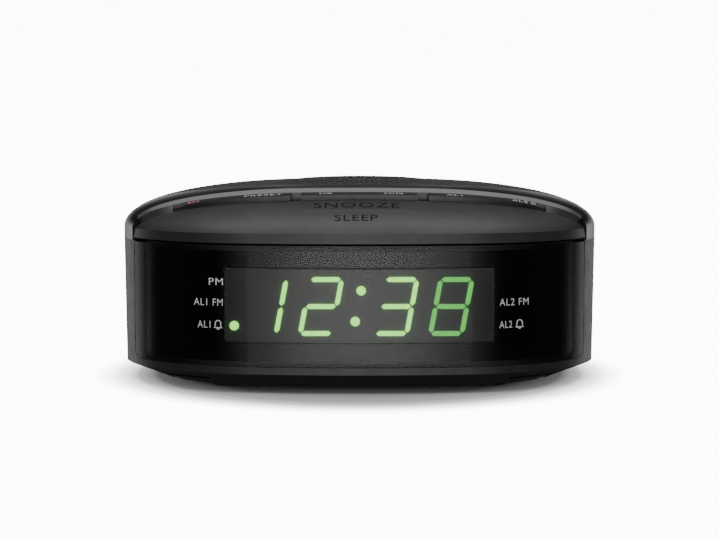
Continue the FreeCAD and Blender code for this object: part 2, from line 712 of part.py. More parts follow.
# ---------------------------------------------------------------------------
# Snooze bar, key strip and keys
# ---------------------------------------------------------------------------
def snooze_button():
    low, crest = dim.snooze_low, dim.snooze_crest
    lean = 0.4 / (crest - low)
    skirt = taper(0.15, low, 0.15 + lean * 20, low + 20)
    hollow_skirt = taper(dim.snooze_wall + 0.15, low - 1, dim.snooze_wall + 0.15 + lean * 21, low + 20)
    outer = skirt.common(snooze_crown)
    inner = hollow_skirt.common(inner_crown(dim.snooze_scale, dim.snooze_base, dim.snooze_rise,
                                            dim.snooze_wall))
    shape = outer.cut(inner).common(ahead_of(snooze_edge, 0, dim.snooze_half, low - 1, FAR))
    for side in (-1, 1):
        pin = post(side * dim.snooze_post_x, dim.snooze_post_y, low - 1.5, FAR, dim.snooze_guide)
        shape = shape.fuse(pin.common(outer))
        cup = post(side * dim.spring_x, dim.spring_y, dim.spring_seat + 1.2, FAR, dim.spring_radius - 0.6)
        shape = shape.fuse(cup.common(outer))
    stem = post(0, dim.snooze_post_y - 5, dim.stem_foot + 0.4, FAR, dim.key_stem)
    return shape.fuse(stem.common(outer))


def strip_section(x):
    """Section of the light strip: it rises from the snooze bar's edge to the dome."""
    front, back = y_on(snooze_edge, x) + dim.slide_gap + 0.1, y_on(dome_edge, x) - dim.slide_gap - 0.05
    width = min(dim.strip_width, 0.6 * (back - front))
    front_top = height_of(snooze_crown, x, front) - 0.1
    back_top = height_of(dome, x, back)
    middle_top = back_top - (back_top - front_top) * 0.35
    floor = front_top - dim.strip_depth
    return [Vector(x, front, floor), Vector(x, front, front_top), Vector(x, back - width, middle_top),
            Vector(x, back, back_top), Vector(x, back, floor)]


def key_section(x, grow=0.0, tall=0.0):
    """Section of a key: it stands a little above the snooze bar's edge and meets the strip."""
    strip = strip_section(x)
    front = y_on(snooze_edge, x) + dim.key_front_gap
    back = strip[2].y - dim.slide_gap
    back = max(back, front + 0.7)
    front_top = height_of(snooze_crown, x, front) + dim.key_proud * min(1, (back - front) / 2.5)
    back_top = max(strip[2].z, front_top + 0.1)
    low = front_top - dim.key_depth - grow
    return [Vector(x, front - grow, low), Vector(x, front - grow, front_top + tall),
            Vector(x, back + grow, back_top + tall), Vector(x, back + grow, low)]


def key_hinge(middle):
    """Point where a key's hinge pin leaves its back face."""
    section = key_section(middle)
    return Vector(middle, section[2].y, section[2].z - 2.2)


def undercut_section(x):
    """Section of the undercut below the lip of a key's front."""
    front_low, front_top, back_top, _ = key_section(x)
    inner = front_top.y + min(dim.key_undercut, 0.4 * (back_top.y - front_top.y))
    low, high = front_low.z - 1, front_top.z - dim.key_lip
    return [Vector(x, front_top.y - 1, low), Vector(x, front_top.y - 1, high), Vector(x, inner, high),
            Vector(x, inner, low)]


def key(middle, half):
    shape = bar(key_section, middle - half, middle + half).cut(
        bar(undercut_section, middle - half - 1, middle + half + 1))
    for x, y in stem_places():
        if abs(x - middle) < half:
            stem = post(x, y, dim.stem_foot, key_section(x)[0].z + 1, dim.key_stem)
            shape = shape.fuse(stem)
    hinge = key_hinge(middle)
    pin = Part.makeCylinder(dim.key_pin, dim.key_pin_length + 1, hinge - BACK, BACK)
    return shape.fuse(pin)


def key_strip():
    shape = bar(strip_section, -dim.strip_end, dim.strip_end, 25)
    shape = shape.cut(deck).common(block(-FAR, FAR, -FAR, FAR, dim.parting_height + 0.1, FAR))
    pit_end = dim.key_end + dim.slide_gap

    def pit_section(x):
        return key_section(x, dim.slide_gap, 10)

    def front_section(x):
        section = key_section(x, dim.slide_gap + 0.02, 10)
        section[0].y -= 5
        section[1].y -= 5
        section[0].z -= 4
        section[3].z -= 4
        return section

    shape = shape.cut(bar(front_section, -pit_end, pit_end, 25)).cut(bar(pit_section, -pit_end, pit_end, 25))
    for middle, _ in key_middles():
        hinge = key_hinge(middle)
        hole = Part.makeCylinder(dim.key_pin + dim.pin_clearance, 8, hinge - BACK, BACK)
        shape = shape.cut(hole)
    return shape


# ---------------------------------------------------------------------------
# Grille
# ---------------------------------------------------------------------------
def speaker_grille():
    """An oval sheet that follows the dome, with staggered rows of round holes."""
    length, depth = dim.grille_length / 2 - 2.4, dim.grille_depth / 2 - 2.4
    row_step = dim.grille_pitch * math.sqrt(3) / 2
    rows = int(depth / row_step)
    holes = []
    for row in range(-rows, rows + 1):
        y = row * row_step
        shift = dim.grille_pitch / 2 if row % 2 else 0.0
        reach = length * math.sqrt(1 - (y / depth) ** 2)
        count = int((reach + shift) / dim.grille_pitch)
        for step in range(-count, count + 1):
            x = step * dim.grille_pitch + shift
            if abs(x) < reach:
                ring = Part.Circle(Vector(x, y + dim.grille_middle, 0), UP, dim.grille_hole)
                holes.append(Part.Wire(ring.toShape()))
    oval = Part.Ellipse(Vector(0, dim.grille_middle, 0), dim.grille_length / 2, dim.grille_depth / 2)
    sheet_plan = Part.makeFace([Part.Wire(oval.toShape())] + holes, "Part::FaceMakerBullseye")
    column_of_holes = sheet_plan.extrude(UP * FAR)
    sheet_floor = crown(1.0, dim.rim_height - dim.grille_sheet, dim.crown_rise)
    return column_of_holes.common(dome).cut(sheet_floor)


keep(carve("FrontLens", front_lens), "front_lens")
keep(carve("DisplayMask", display_mask), "display_mask")
keep(carve("SnoozeButton", snooze_button), "snooze_button")
keep(carve("KeyStrip", key_strip), "key_strip")
KEY_NAMES = ("power_preset_key", "hour_minute_key", "alarm_key")
for key_name, (key_middle, key_half) in zip(KEY_NAMES, key_middles()):
    keep(carve("Key", lambda: key(key_middle, key_half)), key_name)
keep(carve("SpeakerGrille", speaker_grille), "speaker_grille")


# ---------------------------------------------------------------------------
# Speaker
# ---------------------------------------------------------------------------
SPEAKER = ("0", "Sizes.speaker_middle", "0")
NECK = "Sizes.speaker_neck_low"
FLANGE = "Sizes.speaker_flange_low"

basket = turned_body("SpeakerBasket", [
    ("Sizes.coil_radius + 3", NECK),
    ("Sizes.speaker_neck", NECK),
    ("Sizes.surround_outer + 0.3", FLANGE),
    ("Sizes.speaker_flange", FLANGE),
    ("Sizes.speaker_flange", f"{FLANGE} + Sizes.speaker_sheet"),
    ("Sizes.surround_outer - 0.6", f"{FLANGE} + Sizes.speaker_sheet"),
    ("Sizes.speaker_neck - 0.8", f"{NECK} + Sizes.speaker_sheet"),
    ("Sizes.coil_radius + 3", f"{NECK} + Sizes.speaker_sheet"),
], SPEAKER)
doc.recompute()
basket_holes = sketch_on(basket, "XY_Plane", FLANGE)
for quarter in range(4):
    turn = f"{45 + 90 * quarter}"
    draw_circle(basket_holes, f"Sizes.speaker_screw_circle * cos({turn})",
                f"Sizes.speaker_screw_circle * sin({turn})", "1.1")
doc.recompute()
basket_pocket = basket.newObject("PartDesign::Pocket", "SpeakerBasketHoles")
basket_pocket.Profile = basket_holes
basket_pocket.Type = "Length"
basket_pocket.Length = 3.0
basket_pocket.Midplane = True
basket_holes.Visibility = False
keep(basket, "speaker_basket")

yoke_bottom = f"{NECK} - 2 * Sizes.magnet_plate - Sizes.magnet_height"
keep(turned_body("SpeakerYoke", [
    ("0", yoke_bottom),
    ("Sizes.magnet_radius", yoke_bottom),
    ("Sizes.magnet_radius", f"{yoke_bottom} + Sizes.magnet_plate"),
    ("Sizes.coil_radius - 1", f"{yoke_bottom} + Sizes.magnet_plate"),
    ("Sizes.coil_radius - 1", f"{NECK} + 0.5"),
    ("0", f"{NECK} + 0.5"),
], SPEAKER), "speaker_yoke")
keep(turned_body("SpeakerMagnet", [
    ("Sizes.coil_radius + 2", f"{yoke_bottom} + Sizes.magnet_plate"),
    ("Sizes.magnet_radius - 0.5", f"{yoke_bottom} + Sizes.magnet_plate"),
    ("Sizes.magnet_radius - 0.5", f"{NECK} - Sizes.magnet_plate"),
    ("Sizes.coil_radius + 2", f"{NECK} - Sizes.magnet_plate"),
], SPEAKER), "speaker_magnet")
keep(turned_body("SpeakerTopPlate", [
    ("Sizes.coil_radius + 0.6", f"{NECK} - Sizes.magnet_plate"),
    ("Sizes.magnet_radius", f"{NECK} - Sizes.magnet_plate"),
    ("Sizes.magnet_radius", NECK),
    ("Sizes.coil_radius + 0.6", NECK),
], SPEAKER), "speaker_top_plate")
keep(turned_body("SpeakerCone", [
    ("Sizes.coil_radius - 0.4", f"{NECK} - Sizes.magnet_plate"),
    ("Sizes.coil_radius", f"{NECK} - Sizes.magnet_plate"),
    ("Sizes.coil_radius", f"{NECK} + 4"),
    ("Sizes.surround_inner", FLANGE),
    ("Sizes.surround_inner", f"{FLANGE} + 0.6"),
    ("Sizes.coil_radius - 0.4", f"{NECK} + 4.6"),
], SPEAKER), "speaker_cone")
keep(turned_body("DustCap", [
    ("Sizes.coil_radius - 0.5", f"{NECK} + 4.7"),
    ("Sizes.coil_radius + 0.3", f"{NECK} + 5"),
    ("Sizes.coil_radius - 1.6", f"{NECK} + 6.6"),
    ("Sizes.coil_radius / 2", f"{NECK} + 7.6"),
    ("0", f"{NECK} + 8"),
    ("0", f"{NECK} + 7.6"),
    ("Sizes.coil_radius / 2", f"{NECK} + 7.1"),
    ("Sizes.coil_radius - 2", f"{NECK} + 6.2"),
], SPEAKER), "dust_cap")
keep(turned_body("ConeSurround", [
    ("Sizes.surround_inner + 0.1", f"{FLANGE} + 0.5"),
    ("Sizes.surround_inner + 1", f"{FLANGE} + 1.4"),
    ("Sizes.surround_outer - 1", f"{FLANGE} + 1.4"),
    ("Sizes.surround_outer - 0.1", f"{FLANGE} + Sizes.speaker_sheet"),
    ("Sizes.surround_outer + 0.6", f"{FLANGE} + Sizes.speaker_sheet"),
    ("Sizes.surround_outer + 0.6", f"{FLANGE} + 1.2"),
    ("Sizes.surround_outer", f"{FLANGE} + 1.2"),
    ("Sizes.surround_outer - 0.8", f"{FLANGE} + 1.8"),
    ("Sizes.surround_inner + 0.8", f"{FLANGE} + 1.8"),
    ("Sizes.surround_inner + 0.1", f"{FLANGE} + 1"),
], SPEAKER), "cone_surround")


# ---------------------------------------------------------------------------
# Screws
# ---------------------------------------------------------------------------
def screw(name, x, y, head_low, head_height, head_radius, shank_radius, length):
    """A pan-head screw that stands head down, with a slot across its head."""
    shank = rod(name + "Shank", x, y, f"{head_low} + {head_height}", shank_radius, length)
    head = rod(name + "Head", x, y, head_low, head_radius, head_height)
    slot = box(name + "Slot", x, y, head_low, f"{head_radius} * 1.3", "0.5", f"{head_height} / 2")
    return join(name, [shank, cut(name + "Cut", head, slot)])


keep(group("CaseScrews", [
    screw(f"CaseScrew{number}", f"{x}", f"{y}", "Sizes.screw_sink - 1.8", "1.8",
          "Sizes.screw_head", "Sizes.screw_radius", "22")
    for number, (x, y) in enumerate(boss_places)]), "case_screws")
keep(group("SpeakerScrews", [
    screw(f"SpeakerScrew{number}", f"{x:.4f}", f"{y:.4f}", f"{FLANGE} - 1", "1", "1.8", "0.8", "2.5")
    for number, (x, y) in enumerate(speaker_screw_places())]), "speaker_screws")

main_top = "Sizes.main_board_low + Sizes.board_thickness"
board_screws = []
for number, (x_side, y_side) in enumerate(((-1, -1), (1, -1), (-1, 1), (1, 1))):
    x = f"{x_side} * Sizes.board_hole_x"
    y = f"Sizes.main_board_middle + {y_side} * Sizes.board_hole_y"
    shank = rod(f"BoardShank{number}", x, y, "Sizes.main_board_low - 4", "0.95",
                "4 + Sizes.board_thickness")
    head = rod(f"BoardHead{number}", x, y, main_top, "2.2", "1.2")
    board_screws.append(join(f"BoardScrew{number}", [shank, head]))
for number, side in enumerate((-1, 1)):
    board_screws.append(screw(f"KeyBoardScrew{number}", f"{side} * Sizes.key_post_x", "Sizes.key_post_y",
                              "Sizes.key_board_low - 1.2", "1.2", "2.1", "0.95",
                              "Sizes.board_thickness + 3"))
keep(group("BoardScrews", board_screws), "board_screws")


# ---------------------------------------------------------------------------
# Circuit boards and what they carry
# ---------------------------------------------------------------------------
main_board = new_body("MainBoard", ("0", "Sizes.main_board_middle", "Sizes.main_board_low"))
main_sketch = sketch_on(main_board, "XY_Plane")
half_x, half_y = "Sizes.main_board_length / 2", "Sizes.main_board_depth / 2"
draw_outline(main_sketch, [(f"-{half_x}", f"-{half_y}"), (half_x, f"-{half_y}"), (half_x, half_y),
                           (f"-{half_x}", half_y)])
for x_side, y_side in ((-1, -1), (1, -1), (1, 1), (-1, 1)):
    draw_circle(main_sketch, f"{x_side} * Sizes.board_hole_x", f"{y_side} * Sizes.board_hole_y",
                "Sizes.board_hole")
pad(main_board, main_sketch, "Sizes.board_thickness")
keep(main_board, "main_board")

key_board = new_body("KeyBoard", ("0", "0", "Sizes.key_board_low"))
key_sketch = sketch_on(key_board, "XY_Plane")
draw_outline(key_sketch, [
    ("-Sizes.key_board_half", "Sizes.key_board_back"),
    ("-Sizes.key_board_half", "Sizes.key_board_front"),
    ("-Sizes.key_tongue_half", "Sizes.key_board_front"),
    ("-Sizes.key_tongue_half", "Sizes.key_tongue_front"),
    ("Sizes.key_tongue_half", "Sizes.key_tongue_front"),
    ("Sizes.key_tongue_half", "Sizes.key_board_front"),
    ("Sizes.key_board_half", "Sizes.key_board_front"),
    ("Sizes.key_board_half", "Sizes.key_board_back"),
])
for side in (-1, 1):
    draw_circle(key_sketch, f"{side} * Sizes.key_post_x", "Sizes.key_post_y", "1.1")
pad(key_board, key_sketch, "Sizes.board_thickness")
keep(key_board, "key_board")

display_board = new_body("DisplayBoard", ("0", "Sizes.display_front + Sizes.display_thickness", "0"))
display_sketch = sketch_on(display_board, "XZ_Plane")
half = "Sizes.display_board_length / 2"
draw_outline(display_sketch, [
    (f"-{half}", "Sizes.display_board_low"), (half, "Sizes.display_board_low"),
    (half, "Sizes.display_board_high"), (f"-{half}", "Sizes.display_board_high")])
pad(display_board, display_sketch, "Sizes.board_thickness", downward=True)
keep(display_board, "display_board")

switch_low = "Sizes.key_board_low + Sizes.board_thickness"
switches = []
for number, (x, y) in enumerate(stem_places() + [(0.0, dim.snooze_post_y - 5)]):
    case = box(f"SwitchCase{number}", f"{x:.4f}", f"{y:.4f}", switch_low, "6", "6", "3.2")
    plunger = rod(f"SwitchPlunger{number}", f"{x:.4f}", f"{y:.4f}", f"{switch_low} + 3.2", "1.6", "1")
    switches.append(join(f"Switch{number}", [case, plunger]))
keep(group("KeySwitches", switches), "key_switches")

CHIPS = [(-20, -20, 15, 10, 1.8), (6, -14, 10, 10, 1.6), (24, -28, 8, 6, 1.5)]
keep(group("BoardChips", [
    box(f"Chip{number}", f"{x}", f"{y}", main_top, f"{length}", f"{width}", f"{height}")
    for number, (x, y, length, width, height) in enumerate(CHIPS)]), "board_chips")
keep(box("TunerCan", "30", "-14", main_top, "18", "14", "7"), "tuner_can")
# x, y, radius and height of each capacitor on the main board
CAPACITORS = [(-40, -20, 4, 12), (-30, -9, 5, 16), (-33, -30, 3.2, 11), (14, -30, 2.5, 8),
              (39, -28.5, 3.2, 9)]
keep(group("Capacitors", [
    rod(f"Capacitor{number}", f"{x}", f"{y}", main_top, f"{radius}", f"{height}")
    for number, (x, y, radius, height) in enumerate(CAPACITORS)]), "capacitors")


def ribbon_cable():
    """A flat cable that rises from the main board and turns forward to the display board."""
    top = dim.main_board_low + dim.board_thickness
    back, front = -36.0, dim.display_front + dim.display_thickness + dim.board_thickness
    level, bend = top + 6.0, 2.5
    thick = 0.5
    rise = [Vector(0, back, top), Vector(0, back, level - bend)]
    corner = Vector(0, back - bend, level - bend)
    middle = corner + Vector(0, bend, bend) / math.sqrt(2)
    over = [Vector(0, back - bend, level), Vector(0, front, level)]
    inner_bend = bend - thick
    inner_middle = corner + Vector(0, inner_bend, inner_bend) * (1 / math.sqrt(2))
    loop = Part.Wire([
        Part.LineSegment(rise[0], rise[1]).toShape(),
        Part.Arc(rise[1], middle, over[0]).toShape(),
        Part.LineSegment(over[0], over[1]).toShape(),
        Part.LineSegment(over[1], over[1] - UP * thick).toShape(),
        Part.LineSegment(over[1] - UP * thick, over[0] - UP * thick).toShape(),
        Part.Arc(over[0] - UP * thick, inner_middle, rise[1] - BACK * thick).toShape(),
        Part.LineSegment(rise[1] - BACK * thick, rise[0] - BACK * thick).toShape(),
        Part.LineSegment(rise[0] - BACK * thick, rise[0]).toShape(),
    ])
    width = 16.0
    solid = Part.Face(loop).extrude(Vector(width, 0, 0))
    solid.translate(Vector(-width / 2, 0, 0))
    return solid


keep(carve("RibbonCable", ribbon_cable), "ribbon_cable")


# ---------------------------------------------------------------------------
# Display
# ---------------------------------------------------------------------------
housing = new_body("DisplayHousing", ("0", "Sizes.display_front", "0"))
housing_sketch = sketch_on(housing, "XZ_Plane")
half = "(Sizes.window_half - 0.4)"
draw_outline(housing_sketch, [
    (f"-{half}", "Sizes.window_low + 0.4"), (half, "Sizes.window_low + 0.4"),
    (half, "Sizes.window_high - 0.4"), (f"-{half}", "Sizes.window_high - 0.4")])
pad(housing, housing_sketch, "Sizes.display_thickness", downward=True)
keep(housing, "display_housing")

DIGIT_SLANT = 0.187
DIGIT_WIDTH = 9.8
SEGMENT_WIDTH = 1.3
SEGMENT_GAP = 0.25
SEGMENT_PROUD = 0.3
DOT_RADIUS = 1.26
DIGIT_MIDDLES = (-25.5, -10.45, 9.96, 24.9)
DIGIT_SHOWN = ("bc", "abged", "abgcd", "abcdefg")
COLON_DOTS = ((0.46, 27.6), (-1.17, 19.2))
SIGNAL_X = 34.0
SIGNAL_DOTS = ((-SIGNAL_X, 30.0), (-SIGNAL_X, 24.5), (-SIGNAL_X, 18.1), (SIGNAL_X, 24.5), (SIGNAL_X, 18.1))
SIGNAL_LIT = (-SIGNAL_X, 18.1)


def segment(letter, digit_middle):
    """One pointed bar of a seven-segment digit, leaning to the right."""
    across, tall = DIGIT_WIDTH - SEGMENT_WIDTH, (dim.digit_height - SEGMENT_WIDTH) / 2
    low = dim.digit_low + SEGMENT_WIDTH / 2
    ends_of = {"a": (0, 2, 1, 2), "b": (1, 1, 1, 2), "c": (1, 0, 1, 1), "d": (0, 0, 1, 0),
               "e": (0, 0, 0, 1), "f": (0, 1, 0, 2), "g": (0, 1, 1, 1)}
    column_a, row_a, column_b, row_b = ends_of[letter]
    start = Vector((column_a - 0.5) * across, 0, row_a * tall)
    end = Vector((column_b - 0.5) * across, 0, row_b * tall)
    along = (end - start).normalize()
    side = Vector(along.z, 0, -along.x) * (SEGMENT_WIDTH / 2)
    start, end = start + along * SEGMENT_GAP, end - along * SEGMENT_GAP
    shoulder = along * (SEGMENT_WIDTH / 2)
    corners = [start, start + shoulder + side, end - shoulder + side, end, end - shoulder - side,
               start + shoulder - side]
    middle_height = dim.digit_height / 2 - SEGMENT_WIDTH / 2
    placed = [Vector(digit_middle + point.x + DIGIT_SLANT * (point.z - middle_height),
                     dim.display_front, low + point.z) for point in corners]
    return Part.Face(Part.makePolygon(placed + placed[:1])).extrude(Vector(0, -SEGMENT_PROUD, 0))


def dot(place):
    x, z = place
    return Part.makeCylinder(DOT_RADIUS, SEGMENT_PROUD, Vector(x, dim.display_front, z), -BACK)


def lit_segments():
    shapes = [segment(letter, middle) for middle, shown in zip(DIGIT_MIDDLES[:3], DIGIT_SHOWN[:3])
              for letter in shown]
    return Part.makeCompound(shapes + [dot(place) for place in COLON_DOTS + (SIGNAL_LIT,)])


def last_digit_segments():
    return Part.makeCompound([segment(letter, DIGIT_MIDDLES[3]) for letter in DIGIT_SHOWN[3]])


def unlit_segments():
    shapes = [segment(letter, middle) for middle, shown in zip(DIGIT_MIDDLES, DIGIT_SHOWN)
              for letter in "abcdefg" if letter not in shown]
    return Part.makeCompound(shapes + [dot(place) for place in SIGNAL_DOTS if place != SIGNAL_LIT])


keep(carve("LitSegments", lit_segments), "lit_segments")
keep(carve("LastDigitSegments", last_digit_segments), "last_digit_segments")
keep(carve("UnlitSegments", unlit_segments), "unlit_segments")


# ---------------------------------------------------------------------------
# Mains transformer
# ---------------------------------------------------------------------------
core_x, core_y, core_low = "Sizes.transformer_x", "Sizes.transformer_y", "Sizes.transformer_low"
core_window = "(Sizes.transformer_length - 2 * Sizes.limb - 7) / 2"
core = box("CoreBlock", core_x, core_y, core_low, "Sizes.transformer_length",
           "Sizes.transformer_depth", "Sizes.transformer_height")
core_windows = group("CoreWindows", [
    box(f"CoreWindow{number}", f"{core_x} + {side} * (3.5 + {core_window} / 2)", core_y,
        f"{core_low} + Sizes.limb", core_window, "Sizes.transformer_depth + 2",
        "Sizes.transformer_height - 2 * Sizes.limb")
    for number, side in enumerate((-1, 1))])
keep(cut("TransformerCore", core, core_windows), "transformer_core")
winding = box("WindingBlock", core_x, core_y, f"{core_low} + Sizes.limb + 0.2",
              f"7 + 2 * {core_window} - 0.4", "Sizes.transformer_depth + 2 * Sizes.coil_overhang",
              "Sizes.transformer_height - 2 * Sizes.limb - 0.4")
winding_hole = box("WindingHole", core_x, core_y, core_low, "7.2", "Sizes.transformer_depth + 0.2",
                   "Sizes.transformer_height")
keep(cut("TransformerWinding", winding, winding_hole), "transformer_winding")


# ---------------------------------------------------------------------------
# Volume wheel and control
# ---------------------------------------------------------------------------
wheel_reach_formula = "(Sizes.half_width + Sizes.wheel_proud - Sizes.wheel_radius)"
WHEEL_X = f"{wheel_reach_formula} * cos(Sizes.wheel_angle)"
WHEEL_Y = f"Sizes.back_reach - Sizes.half_width + {wheel_reach_formula} * sin(Sizes.wheel_angle)"
wheel = new_body("VolumeWheel", (WHEEL_X, WHEEL_Y, "Sizes.wheel_low"))
wheel_sketch = sketch_on(wheel, "XY_Plane")
draw_circle(wheel_sketch, "0", "0", "Sizes.wheel_radius")
pad(wheel, wheel_sketch, "Sizes.wheel_thickness")
shaft_sketch = sketch_on(wheel, "XY_Plane")
draw_circle(shaft_sketch, "0", "0", "Sizes.wheel_shaft")
pad(wheel, shaft_sketch, "Sizes.wheel_low - Sizes.pot_low - 3", downward=True)
doc.recompute()
notch_sketch = sketch_on(wheel, "XY_Plane", "Sizes.wheel_thickness")
draw_circle(notch_sketch, "Sizes.wheel_radius + 0.2", "0", "0.65")
notch = wheel.newObject("PartDesign::Pocket", "WheelNotch")
notch.Profile = notch_sketch
notch.setExpression("Length", "Sizes.wheel_thickness")
notch_sketch.Visibility = False
doc.recompute()
notches = wheel.newObject("PartDesign::PolarPattern", "WheelNotches")
notches.Originals = [notch]
notches.Axis = (notch_sketch, ["N_Axis"])
notches.Angle = 360.0
notches.Occurrences = 36
wheel.Tip = notches
keep(wheel, "volume_wheel")

pot_case = rod("VolumeCase", WHEEL_X, WHEEL_Y, "Sizes.pot_low", "Sizes.pot_radius",
               "Sizes.pot_top - Sizes.pot_low")
pot_hole = rod("VolumeBore", WHEEL_X, WHEEL_Y, "Sizes.pot_low + 2", "Sizes.wheel_shaft + Sizes.pin_clearance",
               "Sizes.pot_top - Sizes.pot_low")
keep(cut("VolumeControl", pot_case, pot_hole), "volume_control")


# ---------------------------------------------------------------------------
# Battery bay: door and contacts
# ---------------------------------------------------------------------------
door_plate = box("DoorPlate", "Sizes.bay_x", "Sizes.bay_y", "Sizes.foot_height",
                 "Sizes.bay_length + 2 * Sizes.door_lip - 0.5", "Sizes.bay_depth + 2 * Sizes.door_lip - 0.5",
                 "Sizes.door_thickness - 0.6")
door_plug = box("DoorPlug", "Sizes.bay_x", "Sizes.bay_y", "Sizes.foot_height + Sizes.door_thickness - 0.6",
                "Sizes.bay_length - 0.8", "Sizes.bay_depth - 0.8", "1.1")
door_grip = rod("DoorGrip", "Sizes.bay_x - 4", "Sizes.bay_y - Sizes.bay_depth / 2 + 2",
                "Sizes.foot_height - 1", "1.6", "8", turn="right")
keep(cut("BatteryDoor", join("DoorBlock", [door_plate, door_plug]), door_grip), "battery_door")


def coil(radius, wire, pitch, length):
    """A round-wire spring along +Z from the origin."""
    helix = Part.makeHelix(pitch, length - 2 * wire, radius)
    helix.translate(Vector(0, 0, wire))
    ring = Part.Wire(Part.Circle(Vector(radius, 0, wire), BACK, wire).toShape())
    return Part.Wire(helix).makePipeShell([ring], True, True)


def battery_contacts():
    """Two plates with a sprung leaf each at one end of the bay, and one long plate at the other."""
    half = dim.bay_length / 2
    cell = dim.cell_half_pitch
    sheet_metal = dim.contact_sheet
    side, low = dim.contact_side, dim.contact_low
    leaf_radius, leaf_width = dim.leaf_radius, dim.leaf_width
    left, right = dim.bay_x - half, dim.bay_x + half
    shapes = []
    for row in (-1, 1):
        y = dim.bay_y + row * cell
        plate = block(left, left + sheet_metal, y - side / 2, y + side / 2, low, low + side)
        leaf_low = low + (side - leaf_width) / 2
        leaf = post(left, y, leaf_low, leaf_low + leaf_width, leaf_radius).cut(
            post(left, y, 0, FAR, leaf_radius - sheet_metal)).common(
            block(left, FAR, -FAR, FAR, 0, FAR))
        shapes.append(plate.fuse(leaf))
    shapes.append(block(right - sheet_metal, right, dim.bay_y - cell - side / 2, dim.bay_y + cell + side / 2,
                        low, low + side))
    return Part.makeCompound(shapes)


def snooze_springs():
    shapes = []
    for side in (-1, 1):
        spring = coil(dim.spring_radius, dim.spring_wire, dim.spring_pitch, dim.spring_length)
        spring.translate(Vector(side * dim.spring_x, dim.spring_y, dim.spring_seat))
        shapes.append(spring)
    return Part.makeCompound(shapes)


keep(carve("BatteryContacts", battery_contacts), "battery_contacts")
keep(carve("SnoozeSprings", snooze_springs), "snooze_springs")


# ---------------------------------------------------------------------------
# Feet, label, gland and grommet
# ---------------------------------------------------------------------------
keep(group("RubberFeet", [
    rod(f"RubberFoot{number}", f"{x}", f"{y}", "0", "Sizes.foot_radius",
        "Sizes.foot_height + Sizes.foot_sink")
    for number, (x, y) in enumerate(foot_places())]), "rubber_feet")
keep(box("RatingLabel", "0", "Sizes.label_y", "Sizes.foot_height + Sizes.label_sheet", "Sizes.label_length",
         "Sizes.label_depth", "Sizes.label_sheet"), "rating_label")


def bush(name, x, stem, flange, bore, length):
    """A flanged bush in the back panel, with its bore along Y."""
    inner_end = "Sizes.panel_y + Sizes.gland_lip - " + length
    sleeve = rod(name + "Sleeve", x, inner_end, "Sizes.gland_z", stem, length, turn="back")
    collar = rod(name + "Collar", x, "Sizes.panel_y", "Sizes.gland_z", flange, "Sizes.gland_lip", turn="back")
    hole = rod(name + "Bore", x, f"{inner_end} - 1", "Sizes.gland_z", bore, f"{length} + 2", turn="back")
    return cut(name, join(name + "Body", [sleeve, collar]), hole)


keep(bush("MainsGland", "Sizes.gland_x", "Sizes.gland_radius", "Sizes.gland_flange", "Sizes.gland_bore",
          "Sizes.gland_length"), "mains_gland")
keep(bush("AerialGrommet", "Sizes.aerial_x", "Sizes.aerial_radius", "Sizes.aerial_flange",
          "Sizes.aerial_bore", "Sizes.aerial_length"), "aerial_grommet")


# ---------------------------------------------------------------------------
# Check and write
# ---------------------------------------------------------------------------
doc.recompute()
for item in doc.Objects:
    if "Invalid" in item.State or "Error" in item.State:
        raise RuntimeError(f"{item.Name} failed: {item.State}")
for item in nodes:
    if item.Shape.isNull() or not item.Shape.isValid():
        raise RuntimeError(f"{item.Label} has no valid shape")
for item in nodes:
    item.Shape.exportStep(f"parts/{item.Label}.step")
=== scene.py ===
import json
import math

import bmesh
import bpy
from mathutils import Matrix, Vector
from mathutils.bvhtree import BVHTree


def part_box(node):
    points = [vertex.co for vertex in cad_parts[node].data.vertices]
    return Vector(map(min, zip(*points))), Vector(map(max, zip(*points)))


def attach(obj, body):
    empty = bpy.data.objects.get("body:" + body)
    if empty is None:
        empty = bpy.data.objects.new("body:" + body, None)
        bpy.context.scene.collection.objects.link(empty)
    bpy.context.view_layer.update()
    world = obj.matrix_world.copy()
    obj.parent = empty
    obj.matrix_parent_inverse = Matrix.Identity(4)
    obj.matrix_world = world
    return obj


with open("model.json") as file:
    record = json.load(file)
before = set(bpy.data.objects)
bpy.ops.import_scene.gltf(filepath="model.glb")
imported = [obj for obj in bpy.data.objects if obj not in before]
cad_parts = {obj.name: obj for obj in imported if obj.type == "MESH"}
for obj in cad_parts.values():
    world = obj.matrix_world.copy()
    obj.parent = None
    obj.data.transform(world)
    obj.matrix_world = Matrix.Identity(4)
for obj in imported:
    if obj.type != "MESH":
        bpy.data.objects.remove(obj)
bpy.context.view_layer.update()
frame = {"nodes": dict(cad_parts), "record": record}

MM = 0.001
WHITE = 12.0    # the strength at which the floor and the room behind it look plain white


# ---------------------------------------------------------------------------
# Materials
# ---------------------------------------------------------------------------
def calculate(tree, operation, *sources):
    """A math node. Each source is a number or another node's output."""
    made = tree.nodes.new("ShaderNodeMath")
    made.operation = operation
    for index, source in enumerate(sources):
        if isinstance(source, (int, float)):
            made.inputs[index].default_value = source
        else:
            tree.links.new(source, made.inputs[index])
    return made.outputs["Value"]


